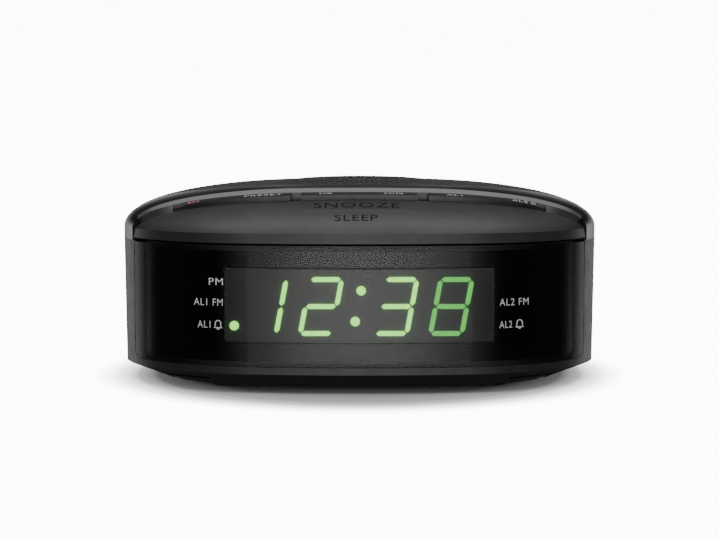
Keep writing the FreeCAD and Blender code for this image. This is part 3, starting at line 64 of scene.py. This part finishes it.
class Recipe:
    """A node material built up step by step around one Principled shader."""

    def __init__(self, name, rough=0.4, metallic=0.0, **inputs):
        self.material = bpy.data.materials.new(name)
        self.material.use_nodes = True
        self.tree = self.material.node_tree
        self.shader = self.tree.nodes["Principled BSDF"]
        self.shader.inputs["Roughness"].default_value = rough
        self.shader.inputs["Metallic"].default_value = metallic
        for label, amount in inputs.items():
            self.shader.inputs[label.replace("_", " ")].default_value = amount
        self.place = self.node("ShaderNodeTexCoord").outputs["Object"]

    def node(self, kind, **settings):
        made = self.tree.nodes.new(kind)
        for label, amount in settings.items():
            setattr(made, label, amount)
        return made

    def link(self, source, target):
        self.tree.links.new(source, target)

    def noise(self, size_mm, detail=3.0, stretch=None):
        """Noise whose features are about size_mm across."""
        made = self.node("ShaderNodeTexNoise")
        made.inputs["Scale"].default_value = 1.0 / (size_mm * MM)
        made.inputs["Detail"].default_value = detail
        source = self.place
        if stretch:
            mapping = self.node("ShaderNodeMapping")
            mapping.inputs["Scale"].default_value = stretch
            self.link(source, mapping.inputs["Vector"])
            source = mapping.outputs["Vector"]
        self.link(source, made.inputs["Vector"])
        return made.outputs["Fac"]

    def colours(self, source, dark, light, low=0.35, high=0.65, target="Base Color"):
        """Runs a value through a ramp from one colour to another."""
        ramp = self.node("ShaderNodeValToRGB")
        ramp.color_ramp.elements[0].position = low
        ramp.color_ramp.elements[1].position = high
        ramp.color_ramp.elements[0].color = (*dark, 1)
        ramp.color_ramp.elements[1].color = (*light, 1)
        self.link(source, ramp.inputs["Fac"])
        self.link(ramp.outputs["Color"], self.shader.inputs[target])
        return self

    def roughness(self, source, low, high):
        spread = self.node("ShaderNodeMapRange")
        spread.inputs["From Min"].default_value = 0.3
        spread.inputs["From Max"].default_value = 0.7
        spread.inputs["To Min"].default_value = low
        spread.inputs["To Max"].default_value = high
        self.link(source, spread.inputs["Value"])
        self.link(spread.outputs["Result"], self.shader.inputs["Roughness"])
        return self

    def bump(self, source, height_mm, strength=1.0):
        made = self.node("ShaderNodeBump")
        made.inputs["Distance"].default_value = height_mm * MM
        made.inputs["Strength"].default_value = strength
        self.link(source, made.inputs["Height"])
        self.link(made.outputs["Normal"], self.shader.inputs["Normal"])
        return self


def moulded(name, tone, rough, grain_mm=0.35, grain_height=0.01, spread=0.12, tint=(1, 1, 1), sheen=0.5):
    """Moulded plastic: a fine grain, slightly uneven colour and sheen."""
    made = Recipe(name, rough)
    made.shader.inputs["Specular IOR Level"].default_value = sheen
    dark = [tone * (1 - spread) * part for part in tint]
    light = [tone * (1 + spread) * part for part in tint]
    made.colours(made.noise(9.0), dark, light)
    made.roughness(made.noise(3.5), rough * 0.92, rough * 1.08)
    made.bump(made.noise(grain_mm, 2.0), grain_height)
    return made.material


def polished(name, tone, rough=0.06):
    """High-gloss plastic: almost no grain, faint haze and hairline marks."""
    made = Recipe(name, rough)
    made.colours(made.noise(14.0), [tone * 0.85] * 3, [tone * 1.15] * 3)
    made.roughness(made.noise(5.0, 5.0), rough * 0.7, rough * 1.5)
    made.bump(made.noise(2.5, 1.0), 0.0006)
    return made.material


def metal(name, colour, rough, grain_mm=0.5, stretch=None, spread=0.1):
    made = Recipe(name, rough, metallic=1.0)
    dark = [part * (1 - spread) for part in colour]
    light = [min(1, part * (1 + spread)) for part in colour]
    made.colours(made.noise(4.0), dark, light)
    made.roughness(made.noise(grain_mm, 4.0, stretch), rough * 0.8, rough * 1.25)
    made.bump(made.noise(grain_mm, 3.0, stretch), 0.004)
    return made.material


def soft(name, tone, rough=0.8, grain_mm=0.6, grain_height=0.03, tint=(1, 1, 1)):
    """Rubber, paper pulp or tape: coarse grain and no shine."""
    made = Recipe(name, rough)
    made.colours(made.noise(grain_mm * 3), [tone * 0.8 * part for part in tint],
                 [tone * 1.2 * part for part in tint])
    made.roughness(made.noise(2.0), rough * 0.9, min(1, rough * 1.1))
    made.bump(made.noise(grain_mm, 4.0), grain_height)
    return made.material


def painted_top_light(name, shaded, lit, rough):
    """Semi-gloss plastic with painted light: darker on its upright faces than on its top, as painted shade
    on the sides and a painted highlight on top.
    """
    made = Recipe(name, rough)
    parts = made.node("ShaderNodeSeparateXYZ")
    made.link(made.node("ShaderNodeNewGeometry").outputs["Normal"], parts.inputs["Vector"])
    # painted highlight and shade: the colour follows how far each face points up, not the plastic itself
    made.colours(parts.outputs["Z"], [shaded] * 3, [lit] * 3, 0.35, 0.85)
    made.roughness(made.noise(3.0), rough * 0.9, rough * 1.1)
    made.bump(made.noise(0.3, 2.0), 0.003)
    return made.material


def smoked_clear(name):
    """Tinted clear plastic. It covers more in front of the window and round the corners.

    Over the printed film it covers little, and the film's own gloss is what shows there.
    """
    film_cover, full_cover = 0.12, 0.42
    corner_start, corner_fade = 0.040, 0.012
    made = Recipe(name, 0.12, IOR=1.75)
    made.colours(made.noise(30.0), (0.0012, 0.0012, 0.0013), (0.0018, 0.0018, 0.0019))
    parts = made.node("ShaderNodeSeparateXYZ")
    made.link(made.place, parts.inputs["Vector"])
    across = calculate(made.tree, "ABSOLUTE", parts.outputs["X"])
    lowest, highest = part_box("display_housing")
    low, high = lowest[2], highest[2]
    inside = calculate(made.tree, "LESS_THAN", across, highest[0])
    for operation, edge in (("GREATER_THAN", low), ("LESS_THAN", high)):
        inside = calculate(made.tree, "MULTIPLY", inside,
                           calculate(made.tree, operation, parts.outputs["Z"], edge))
    ends = calculate(made.tree, "MULTIPLY_ADD", across, 1 / corner_fade, -corner_start / corner_fade)
    ends = calculate(made.tree, "MAXIMUM", calculate(made.tree, "MINIMUM", ends, 1.0), 0.0)
    cover = calculate(made.tree, "MULTIPLY_ADD", calculate(made.tree, "MAXIMUM", inside, ends),
                      full_cover - film_cover, film_cover)
    made.link(cover, made.shader.inputs["Alpha"])
    return made.material


def ink(name, colour, glow):
    """Printed ink, a little uneven in its cover, with a faint painted glow: its colour also shines as
    light, though the ink is no lamp.
    """
    made = Recipe(name, 0.55)
    # painted glow: the ink gives off a little light of its own, so that it looks brighter
    made.shader.inputs["Emission Strength"].default_value = glow
    made.material.cycles.emission_sampling = "NONE"
    cover = made.noise(0.5, 4.0)
    thin = [part * 0.8 for part in colour]
    made.colours(cover, thin, colour)
    made.colours(cover, thin, colour, target="Emission Color")
    return made.material


def glowing(name, colour, strength):
    """A lit segment: its light is a little uneven, as the diffuser behind it is."""
    made = Recipe(name, 0.35)
    made.shader.inputs["Emission Strength"].default_value = strength
    made.material.cycles.emission_sampling = "NONE"
    patches = made.noise(1.6, 2.0)
    dark = [part * 0.86 for part in colour]
    made.colours(patches, dark, colour, target="Emission Color")
    made.colours(patches, [part * 0.3 for part in dark], [part * 0.3 for part in colour])
    return made.material


def board(name):
    """Green solder mask over copper tracks."""
    made = Recipe(name, 0.35)
    tracks = made.node("ShaderNodeTexBrick")
    tracks.inputs["Scale"].default_value = 1.0
    tracks.inputs["Brick Width"].default_value = 6 * MM
    tracks.inputs["Row Height"].default_value = 1.6 * MM
    tracks.inputs["Mortar Size"].default_value = 0.25 * MM
    tracks.inputs["Color1"].default_value = (0.012, 0.11, 0.045, 1)
    tracks.inputs["Color2"].default_value = (0.018, 0.14, 0.060, 1)
    tracks.inputs["Mortar"].default_value = (0.050, 0.24, 0.090, 1)
    made.link(made.place, tracks.inputs["Vector"])
    made.link(tracks.outputs["Color"], made.shader.inputs["Base Color"])
    made.roughness(made.noise(1.5), 0.25, 0.45)
    made.bump(tracks.outputs["Fac"], 0.03)
    return made.material


def laminated(name):
    """Stacked steel sheets seen from their edges."""
    made = Recipe(name, 0.42, metallic=0.8)
    sheets = made.node("ShaderNodeTexWave", wave_type="BANDS", bands_direction="Y")
    sheets.inputs["Scale"].default_value = 1 / (2.2 * MM)
    sheets.inputs["Distortion"].default_value = 0.4
    made.link(made.place, sheets.inputs["Vector"])
    made.colours(sheets.outputs["Fac"], (0.05, 0.05, 0.055), (0.24, 0.24, 0.25), 0.1, 0.9)
    made.bump(sheets.outputs["Fac"], 0.06)
    return made.material


FINISHES = {
    "case_side": moulded("case_side", 0.030, 0.42),
    "case_gloss": polished("case_gloss", 0.006, 0.13),
    "snooze_satin": moulded("snooze_satin", 0.036, 0.40, 0.25, 0.006),
    "key_satin": moulded("key_satin", 0.020, 0.32, 0.2, 0.004),
    # the key strip's top is painted lighter and its upright faces darker, as painted highlight and shade
    "strip_satin": painted_top_light("strip_satin", 0.010, 0.20, 0.22),
    "smoked_lens": smoked_clear("smoked_lens"),
    "mask_black": polished("mask_black", 0.0015, 0.12),
    "grille_metal": moulded("grille_metal", 0.06, 0.36, 0.15, 0.006),
    "segment_green": glowing("segment_green", (0.33, 1.0, 0.14), 5.5),
    "segment_dim": glowing("segment_dim", (0.13, 0.75, 0.10), 2.8),
    "segment_off": moulded("segment_off", 0.20, 0.6, 0.35, 0.0, 0.03, tint=(0.97, 1, 0.97), sheen=0.1),
    "display_black": moulded("display_black", 0.20, 0.6, 0.35, 0.0, 0.03, sheen=0.1),
    "board_green": board("board_green"),
    "chip_black": moulded("chip_black", 0.02, 0.5),
    "tin_plate": metal("tin_plate", (0.70, 0.70, 0.68), 0.3),
    "capacitor_sleeve": moulded("capacitor_sleeve", 0.06, 0.25, tint=(0.3, 0.4, 1.0)),
    "switch_body": moulded("switch_body", 0.03, 0.5),
    "steel_zinc": metal("steel_zinc", (0.62, 0.62, 0.60), 0.32),
    "spring_steel": metal("spring_steel", (0.66, 0.66, 0.66), 0.25, 0.3),
    "speaker_frame": moulded("speaker_frame", 0.04, 0.35, 0.4, 0.01),
    "ferrite": soft("ferrite", 0.05, 0.6, 0.4),
    "cone_paper": soft("cone_paper", 0.035, 0.85, 0.8, 0.06),
    "surround_foam": soft("surround_foam", 0.02, 0.9, 0.5, 0.05),
    "core_steel": laminated("core_steel"),
    "winding_tape": soft("winding_tape", 0.6, 0.45, 1.2, 0.02, (1.0, 0.78, 0.1)),
    "cable_grey": soft("cable_grey", 0.4, 0.5, 0.9, 0.02),
    "foot_rubber": soft("foot_rubber", 0.015, 0.8, 0.4, 0.02),
    "label_silver": moulded("label_silver", 0.5, 0.35, 0.5, 0.002),
    "gland_rubber": soft("gland_rubber", 0.012, 0.7, 0.4, 0.02),
    # the legend inks carry a faint painted glow, set by the last number
    "legend_white": ink("legend_white", (0.85, 0.85, 0.85), 0.10),
    "legend_red": ink("legend_red", (0.85, 0.20, 0.26), 0.16),
    "legend_dark": moulded("legend_dark", 0.006, 0.7, 0.2, 0.001, sheen=0.12),
}

SLOT_OF = {entry["node"]: entry["material_slot"] for entry in frame["record"]["subparts"]}
for node_name, node in frame["nodes"].items():
    node.data.materials.clear()
    node.data.materials.append(FINISHES[SLOT_OF[node_name]])


# the printed film is drawn this much inside its own surface, a little further behind the lens
FILM_GAP = 0.04 * MM
film_gap = frame["nodes"]["display_mask"].modifiers.new("film_gap", "DISPLACE")
film_gap.strength = -FILM_GAP
film_gap.mid_level = 0.0


def smooth_by_angle(piece, degrees):
    """Shades a mesh smooth except across edges sharper than an angle."""
    mesh = piece.data
    mesh.shade_smooth()
    mesh.set_sharp_from_angle(angle=math.radians(degrees))


# ---------------------------------------------------------------------------
# Camera, floor and light
# ---------------------------------------------------------------------------
def make_camera():
    """In front of the object and a little above it, looking down by a few degrees."""
    place, down, focal_length = (0.0, -0.762, 0.09075), 4.64, 131.06
    data = bpy.data.cameras.new("camera")
    data.sensor_width = 36
    data.lens = focal_length
    camera = bpy.data.objects.new("camera", data)
    bpy.context.collection.objects.link(camera)
    camera.location = place
    camera.rotation_euler = (math.radians(90 - down), 0, 0)
    data.clip_start, data.clip_end = 0.01, 50
    bpy.context.scene.camera = camera


def ramp(tree, source, stops):
    """Turns a value into another through (place, value) stops."""
    made = tree.nodes.new("ShaderNodeValToRGB")
    made.color_ramp.interpolation = "LINEAR"
    elements = made.color_ramp.elements
    elements[0].position, elements[0].color = stops[0][0], (*[stops[0][1]] * 3, 1)
    elements[1].position, elements[1].color = stops[-1][0], (*[stops[-1][1]] * 3, 1)
    for place, amount in stops[1:-1]:
        elements.new(place).color = (*[amount] * 3, 1)
    tree.links.new(source, made.inputs["Fac"])
    return made.outputs["Color"]


def make_floor():
    """A pale sweep: it is lit close to the object, and glows white further away. The glow is kept off an
    ellipse round the object and fades in at its edge, so the grey there is partly real shadow and partly
    painted shade.
    """
    half = 12.0
    # half-axes and offset of the ellipse that outlines the painted shade round the object
    shade_half_width, shade_half_depth, shade_back = 0.069, 0.082, 0.008
    mesh = bpy.data.meshes.new("floor")
    corners = [(-half, -half, 0), (half, -half, 0), (half, half, 0), (-half, half, 0)]
    mesh.from_pydata(corners, [], [(0, 1, 2, 3)])
    floor = bpy.data.objects.new("floor", mesh)
    bpy.context.collection.objects.link(floor)
    paint = Recipe("floor_white", 0.9)
    paint.colours(paint.noise(60.0), (0.60, 0.60, 0.60), (0.62, 0.62, 0.62))
    paint.shader.inputs["Specular IOR Level"].default_value = 0.1
    tree = paint.tree
    parts = paint.node("ShaderNodeSeparateXYZ")
    paint.link(paint.place, parts.inputs["Vector"])
    across = calculate(tree, "DIVIDE", parts.outputs["X"], shade_half_width)
    along = calculate(tree, "DIVIDE", calculate(tree, "ADD", parts.outputs["Y"], shade_back),
                      shade_half_depth)
    reach = calculate(tree, "SQRT", calculate(tree, "ADD", calculate(tree, "MULTIPLY", across, across),
                                              calculate(tree, "MULTIPLY", along, along)))
    # painted shade: no glow inside the ellipse, so the floor's darkening round the object takes this
    # outline
    glow = ramp(tree, calculate(tree, "MULTIPLY", reach, 0.5),
                [(0.34, 0.0), (0.42, 0.01), (0.46, 0.05), (0.50, 0.25), (0.56, 1.0)])
    strength = calculate(tree, "MULTIPLY", glow, WHITE)
    paint.link(strength, paint.shader.inputs["Emission Strength"])
    paint.shader.inputs["Emission Color"].default_value = (1, 1, 1, 1)
    paint.material.cycles.emission_sampling = "NONE"
    mesh.materials.append(paint.material)
    floor.visible_glossy = False
    floor.visible_diffuse = False
    floor.visible_transmission = False


def make_light(name, place, aim, size, power):
    """A square soft light at a place, turned to face a point."""
    data = bpy.data.lights.new(name, "AREA")
    data.energy = power
    data.shape = "RECTANGLE"
    data.size = size
    data.size_y = size
    light = bpy.data.objects.new(name, data)
    bpy.context.collection.objects.link(light)
    light.location = place
    light.rotation_euler = (Vector(aim) - Vector(place)).to_track_quat("-Z", "Y").to_euler()


def make_world():
    """A white room with soft panels: one in front, two behind at the sides, and one above.

    Turn runs from 0 in front to 1 behind, and rise from 0 straight down to 1 straight up.
    """
    front_strength, rim_strength, above_strength, everywhere = 2.5, 1.15, 0.7, 0.04
    world = bpy.data.worlds.new("studio")
    bpy.context.scene.world = world
    world.use_nodes = True
    tree = world.node_tree
    toward = tree.nodes.new("ShaderNodeTexCoord")
    parts = tree.nodes.new("ShaderNodeSeparateXYZ")
    tree.links.new(toward.outputs["Generated"], parts.inputs["Vector"])
    ahead = calculate(tree, "MULTIPLY", parts.outputs["Y"], -1.0)
    turn = calculate(tree, "ARCTAN2", parts.outputs["X"], ahead)
    turn = calculate(tree, "DIVIDE", calculate(tree, "ABSOLUTE", turn), math.pi)
    rise = calculate(tree, "MULTIPLY_ADD", parts.outputs["Z"], 0.5, 0.5)
    front = calculate(tree, "MULTIPLY",
                      ramp(tree, turn, [(0.0, 1.0), (0.044, 0.88), (0.066, 0.76), (0.087, 0.55),
                                        (0.109, 0.34), (0.13, 0.20), (0.19, 0.07), (0.26, 0.0)]),
                      ramp(tree, rise, [(0.05, 0.2), (0.30, 0.35), (0.38, 1.0), (0.62, 1.0),
                                        (0.85, 0.4), (0.95, 0.0)]))
    rim = calculate(tree, "MULTIPLY",
                    ramp(tree, turn, [(0.60, 0.0), (0.64, 0.10), (0.69, 0.6), (0.73, 1.0),
                                      (0.79, 1.0), (0.86, 0.4), (1.0, 0.35)]),
                    ramp(tree, rise, [(0.35, 0.0), (0.42, 1.0), (0.52, 1.0), (0.60, 0.0)]))
    above = ramp(tree, rise, [(0.78, 0.0), (0.94, 1.0)])
    total = calculate(tree, "MULTIPLY", front, front_strength)
    total = calculate(tree, "MULTIPLY_ADD", rim, rim_strength, total)
    total = calculate(tree, "MULTIPLY_ADD", above, above_strength, total)
    total = calculate(tree, "ADD", total, everywhere)
    shade = tree.nodes["Background"]
    shade.inputs["Color"].default_value = (1, 1, 1, 1)
    tree.links.new(total, shade.inputs["Strength"])
    seen = tree.nodes.new("ShaderNodeBackground")
    seen.inputs["Color"].default_value = (1, 1, 1, 1)
    seen.inputs["Strength"].default_value = WHITE
    mix = tree.nodes.new("ShaderNodeMixShader")
    path = tree.nodes.new("ShaderNodeLightPath")
    tree.links.new(path.outputs["Is Camera Ray"], mix.inputs["Fac"])
    tree.links.new(shade.outputs["Background"], mix.inputs[1])
    tree.links.new(seen.outputs["Background"], mix.inputs[2])
    tree.links.new(mix.outputs["Shader"], tree.nodes["World Output"].inputs["Surface"])


make_camera()
make_floor()
make_world()
make_light("overhead", place=(0, -0.1, 0.9), aim=(0, 0, 0), size=0.9, power=3)

for node in frame["nodes"].values():
    smooth_by_angle(node, 30)


# ---------------------------------------------------------------------------
# Printed legends
# ---------------------------------------------------------------------------
FAR = 0.2    # a place outside the object, to look towards it from


def surface_tree(node):
    mesh = frame["nodes"][node].data
    return BVHTree.FromPolygons([vertex.co.copy() for vertex in mesh.vertices],
                                [list(face.vertices) for face in mesh.polygons])


def fine_flat_mesh(shape, longest=0.5):
    """Splits a flat mesh until no edge is longer than a given length in mm."""
    bmesh.ops.triangulate(shape, faces=shape.faces[:])
    for _ in range(4):
        long_edges = [edge for edge in shape.edges if edge.calc_length() > longest]
        if not long_edges:
            break
        bmesh.ops.subdivide_edges(shape, edges=long_edges, cuts=1)
        bmesh.ops.triangulate(shape, faces=shape.faces[:])


def lettering(words):
    """Flat letters, in a mesh of its own."""
    curve = bpy.data.curves.new("words", "FONT")
    curve.body = words
    curve.space_character = 1.12
    holder = bpy.data.objects.new("words", curve)
    bpy.context.collection.objects.link(holder)
    flat = bmesh.new()
    made = bpy.data.meshes.new_from_object(holder.evaluated_get(bpy.context.evaluated_depsgraph_get()))
    flat.from_mesh(made)
    bpy.data.objects.remove(holder)
    bpy.data.curves.remove(curve)
    bpy.data.meshes.remove(made)
    return flat


def fit(shape, left, right, low, high):
    """Stretches a flat mesh to fill a rectangle given in mm."""
    across = [vertex.co.x for vertex in shape.verts]
    up = [vertex.co.y for vertex in shape.verts]
    for vertex in shape.verts:
        share_x = (vertex.co.x - min(across)) / (max(across) - min(across))
        share_y = (vertex.co.y - min(up)) / (max(up) - min(up))
        vertex.co = Vector((left + (right - left) * share_x, low + (high - low) * share_y, 0))


def tilt(shape, rise):
    """Shears a flat mesh, so that its right end lies higher than its left by a rise in mm."""
    across = [vertex.co.x for vertex in shape.verts]
    for vertex in shape.verts:
        vertex.co.y += rise * (vertex.co.x - min(across)) / (max(across) - min(across))


def print_on(name, shape, node, body, slot, facing, proud=0.03):
    """Lays a flat mesh, in mm, on a node as a thin layer of ink. Facing is where it is seen from."""
    fine_flat_mesh(shape)
    tree = surface_tree(node)
    for vertex in shape.verts:
        across, up = vertex.co.x * MM, vertex.co.y * MM
        if facing == "front":
            hit = tree.ray_cast(Vector((across, -FAR, up)), Vector((0, 1, 0)))[0]
            vertex.co = hit - Vector((0, proud * MM, 0))
        else:
            hit = tree.ray_cast(Vector((across, up, FAR)), Vector((0, 0, -1)))[0]
            vertex.co = hit + Vector((0, 0, proud * MM))
    mesh = bpy.data.meshes.new(name)
    shape.to_mesh(mesh)
    shape.free()
    piece = bpy.data.objects.new(name, mesh)
    bpy.context.collection.objects.link(piece)
    mesh.materials.append(FINISHES[slot])
    mesh.shade_smooth()
    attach(piece, body)


def stroke(shape, points, width, closed=False):
    """Adds a flat line of even width along points."""
    count = len(points)
    rails = []
    for index, point in enumerate(points):
        before = points[index - 1] if index or closed else point
        after = points[(index + 1) % count] if index < count - 1 or closed else point
        way = (Vector(after) - Vector(before)).normalized()
        aside = Vector((-way.y, way.x)) * width / 2
        middle = Vector(point)
        rails.append((shape.verts.new((*(middle + aside), 0)), shape.verts.new((*(middle - aside), 0))))
    for index in range(count if closed else count - 1):
        here, there = rails[index], rails[(index + 1) % count]
        shape.faces.new((here[0], there[0], there[1], here[1]))


def arc(middle_x, middle_y, radius, start, end, steps=12):
    """Points on an arc, from one angle to another in degrees."""
    angles = [math.radians(start + (end - start) * step / steps) for step in range(steps + 1)]
    return [(middle_x + radius * math.cos(angle), middle_y + radius * math.sin(angle)) for angle in angles]


def bell():
    """An alarm bell drawn in outline, with its clapper."""
    shape = bmesh.new()
    body = arc(0, 0.62, 0.62, 180, 0) + [(0.66, -0.15), (0.98, -0.52), (-0.98, -0.52), (-0.66, -0.15)]
    stroke(shape, body, 0.24, closed=True)
    stroke(shape, arc(0, -0.60, 0.30, 180, 360), 0.22)
    return shape


def power_sign():
    """A broken ring with a bar in the gap."""
    shape = bmesh.new()
    stroke(shape, arc(0, 0, 1.0, 125, 415, 24), 0.42)
    stroke(shape, [(0, 0.25), (0, 1.35)], 0.42)
    return shape


def print_legends():
    """All the words and signs, each with its left, right, lower and upper edge in mm.

    A word on a key follows the key's middle line, which lies at near at its left end and at far
    at its right end.
    """
    key_letter_half = 0.8
    for name, words, left, right, low, high in (
            ("legend_pm", "PM", -40.8, -36.9, 29.3, 31.2),
            ("legend_al1_fm", "AL1 FM", -45.0, -37.0, 23.7, 25.6),
            ("legend_al1", "AL1", -44.0, -40.4, 17.6, 19.5),
            ("legend_al2_fm", "AL2 FM", 37.9, 46.0, 23.7, 25.6),
            ("legend_al2", "AL2", 37.9, 41.4, 17.6, 19.5)):
        shape = lettering(words)
        fit(shape, left, right, low, high)
        print_on(name, shape, "front_lens", "case", "legend_white", "front")
    for name, left, right in (("bell_al1", -39.5, -37.1), ("bell_al2", 42.3, 44.7)):
        shape = bell()
        fit(shape, left, right, 17.2, 19.8)
        print_on(name, shape, "front_lens", "case", "legend_white", "front")
    for name, words, left, right, low, high in (
            ("legend_snooze", "SNOOZE", -12.5, 10.9, -50.5, -46.2),
            ("legend_sleep", "SLEEP", -6.7, 4.9, -58.0, -55.2)):
        shape = lettering(words)
        fit(shape, left, right, low, high)
        print_on(name, shape, "snooze_button", "snooze", "legend_dark", "top")
    for name, words, node, body, left, right, near, far in (
            ("legend_preset", "PRESET", "power_preset_key", "power_key", -31.8, -21.4, -39.9, -40.5),
            ("legend_hr", "HR", "hour_minute_key", "time_key", -11.0, -7.4, -40.6, -40.7),
            ("legend_min", "MIN", "hour_minute_key", "time_key", 6.9, 11.9, -40.7, -40.6),
            ("legend_key_al1", "AL1", "alarm_key", "alarm_rocker", 24.0, 28.4, -40.4, -40.1),
            ("legend_key_al2", "AL2", "alarm_key", "alarm_rocker", 42.2, 46.6, -38.5, -37.7)):
        shape = lettering(words)
        fit(shape, left, right, near - key_letter_half, near + key_letter_half)
        tilt(shape, far - near)
        print_on(name, shape, node, body, "legend_white", "top")
    shape = power_sign()
    fit(shape, -47.6, -44.2, -38.1, -36.9)
    tilt(shape, -0.7)
    print_on("power_sign", shape, "power_preset_key", "power_key", "legend_red", "top")
    shape = bell()
    fit(shape, 47.4, 48.9, -38.0, -36.9)
    tilt(shape, 0.3)
    print_on("bell_key", shape, "alarm_key", "alarm_rocker", "legend_white", "top")


print_legends()


# ---------------------------------------------------------------------------
# Raised line across the snooze bar, between its two words
# ---------------------------------------------------------------------------
def snooze_line():
    """A thin half-round bead that follows the top of the bar."""
    tree = surface_tree("snooze_button")
    left, right, y = -16.8, 15.8, -52.6
    half_width, height, sunk = 0.30, 0.16, 0.02
    steps, around = 48, 6
    shape = bmesh.new()
    rings = []
    for step in range(steps + 1):
        share = step / steps
        x = left + (right - left) * share
        taper = min(1.0, 12 * share, 12 * (1 - share))
        ring = []
        for side in range(around + 1):
            angle = math.pi * side / around
            across = y + half_width * math.cos(angle)
            hit = tree.ray_cast(Vector((x * MM, across * MM, FAR)), Vector((0, 0, -1)))[0]
            lift = (height * taper * math.sin(angle) - sunk) * MM
            ring.append(shape.verts.new(hit + Vector((0, 0, lift))))
        rings.append(ring)
    for first, second in zip(rings, rings[1:]):
        for index in range(around):
            shape.faces.new((first[index], second[index], second[index + 1], first[index + 1]))
    mesh = bpy.data.meshes.new("snooze_line")
    bmesh.ops.recalc_face_normals(shape, faces=shape.faces[:])
    shape.to_mesh(mesh)
    shape.free()
    piece = bpy.data.objects.new("snooze_line", mesh)
    bpy.context.collection.objects.link(piece)
    mesh.materials.append(FINISHES["snooze_satin"])
    mesh.shade_smooth()
    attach(piece, "snooze")


snooze_line()
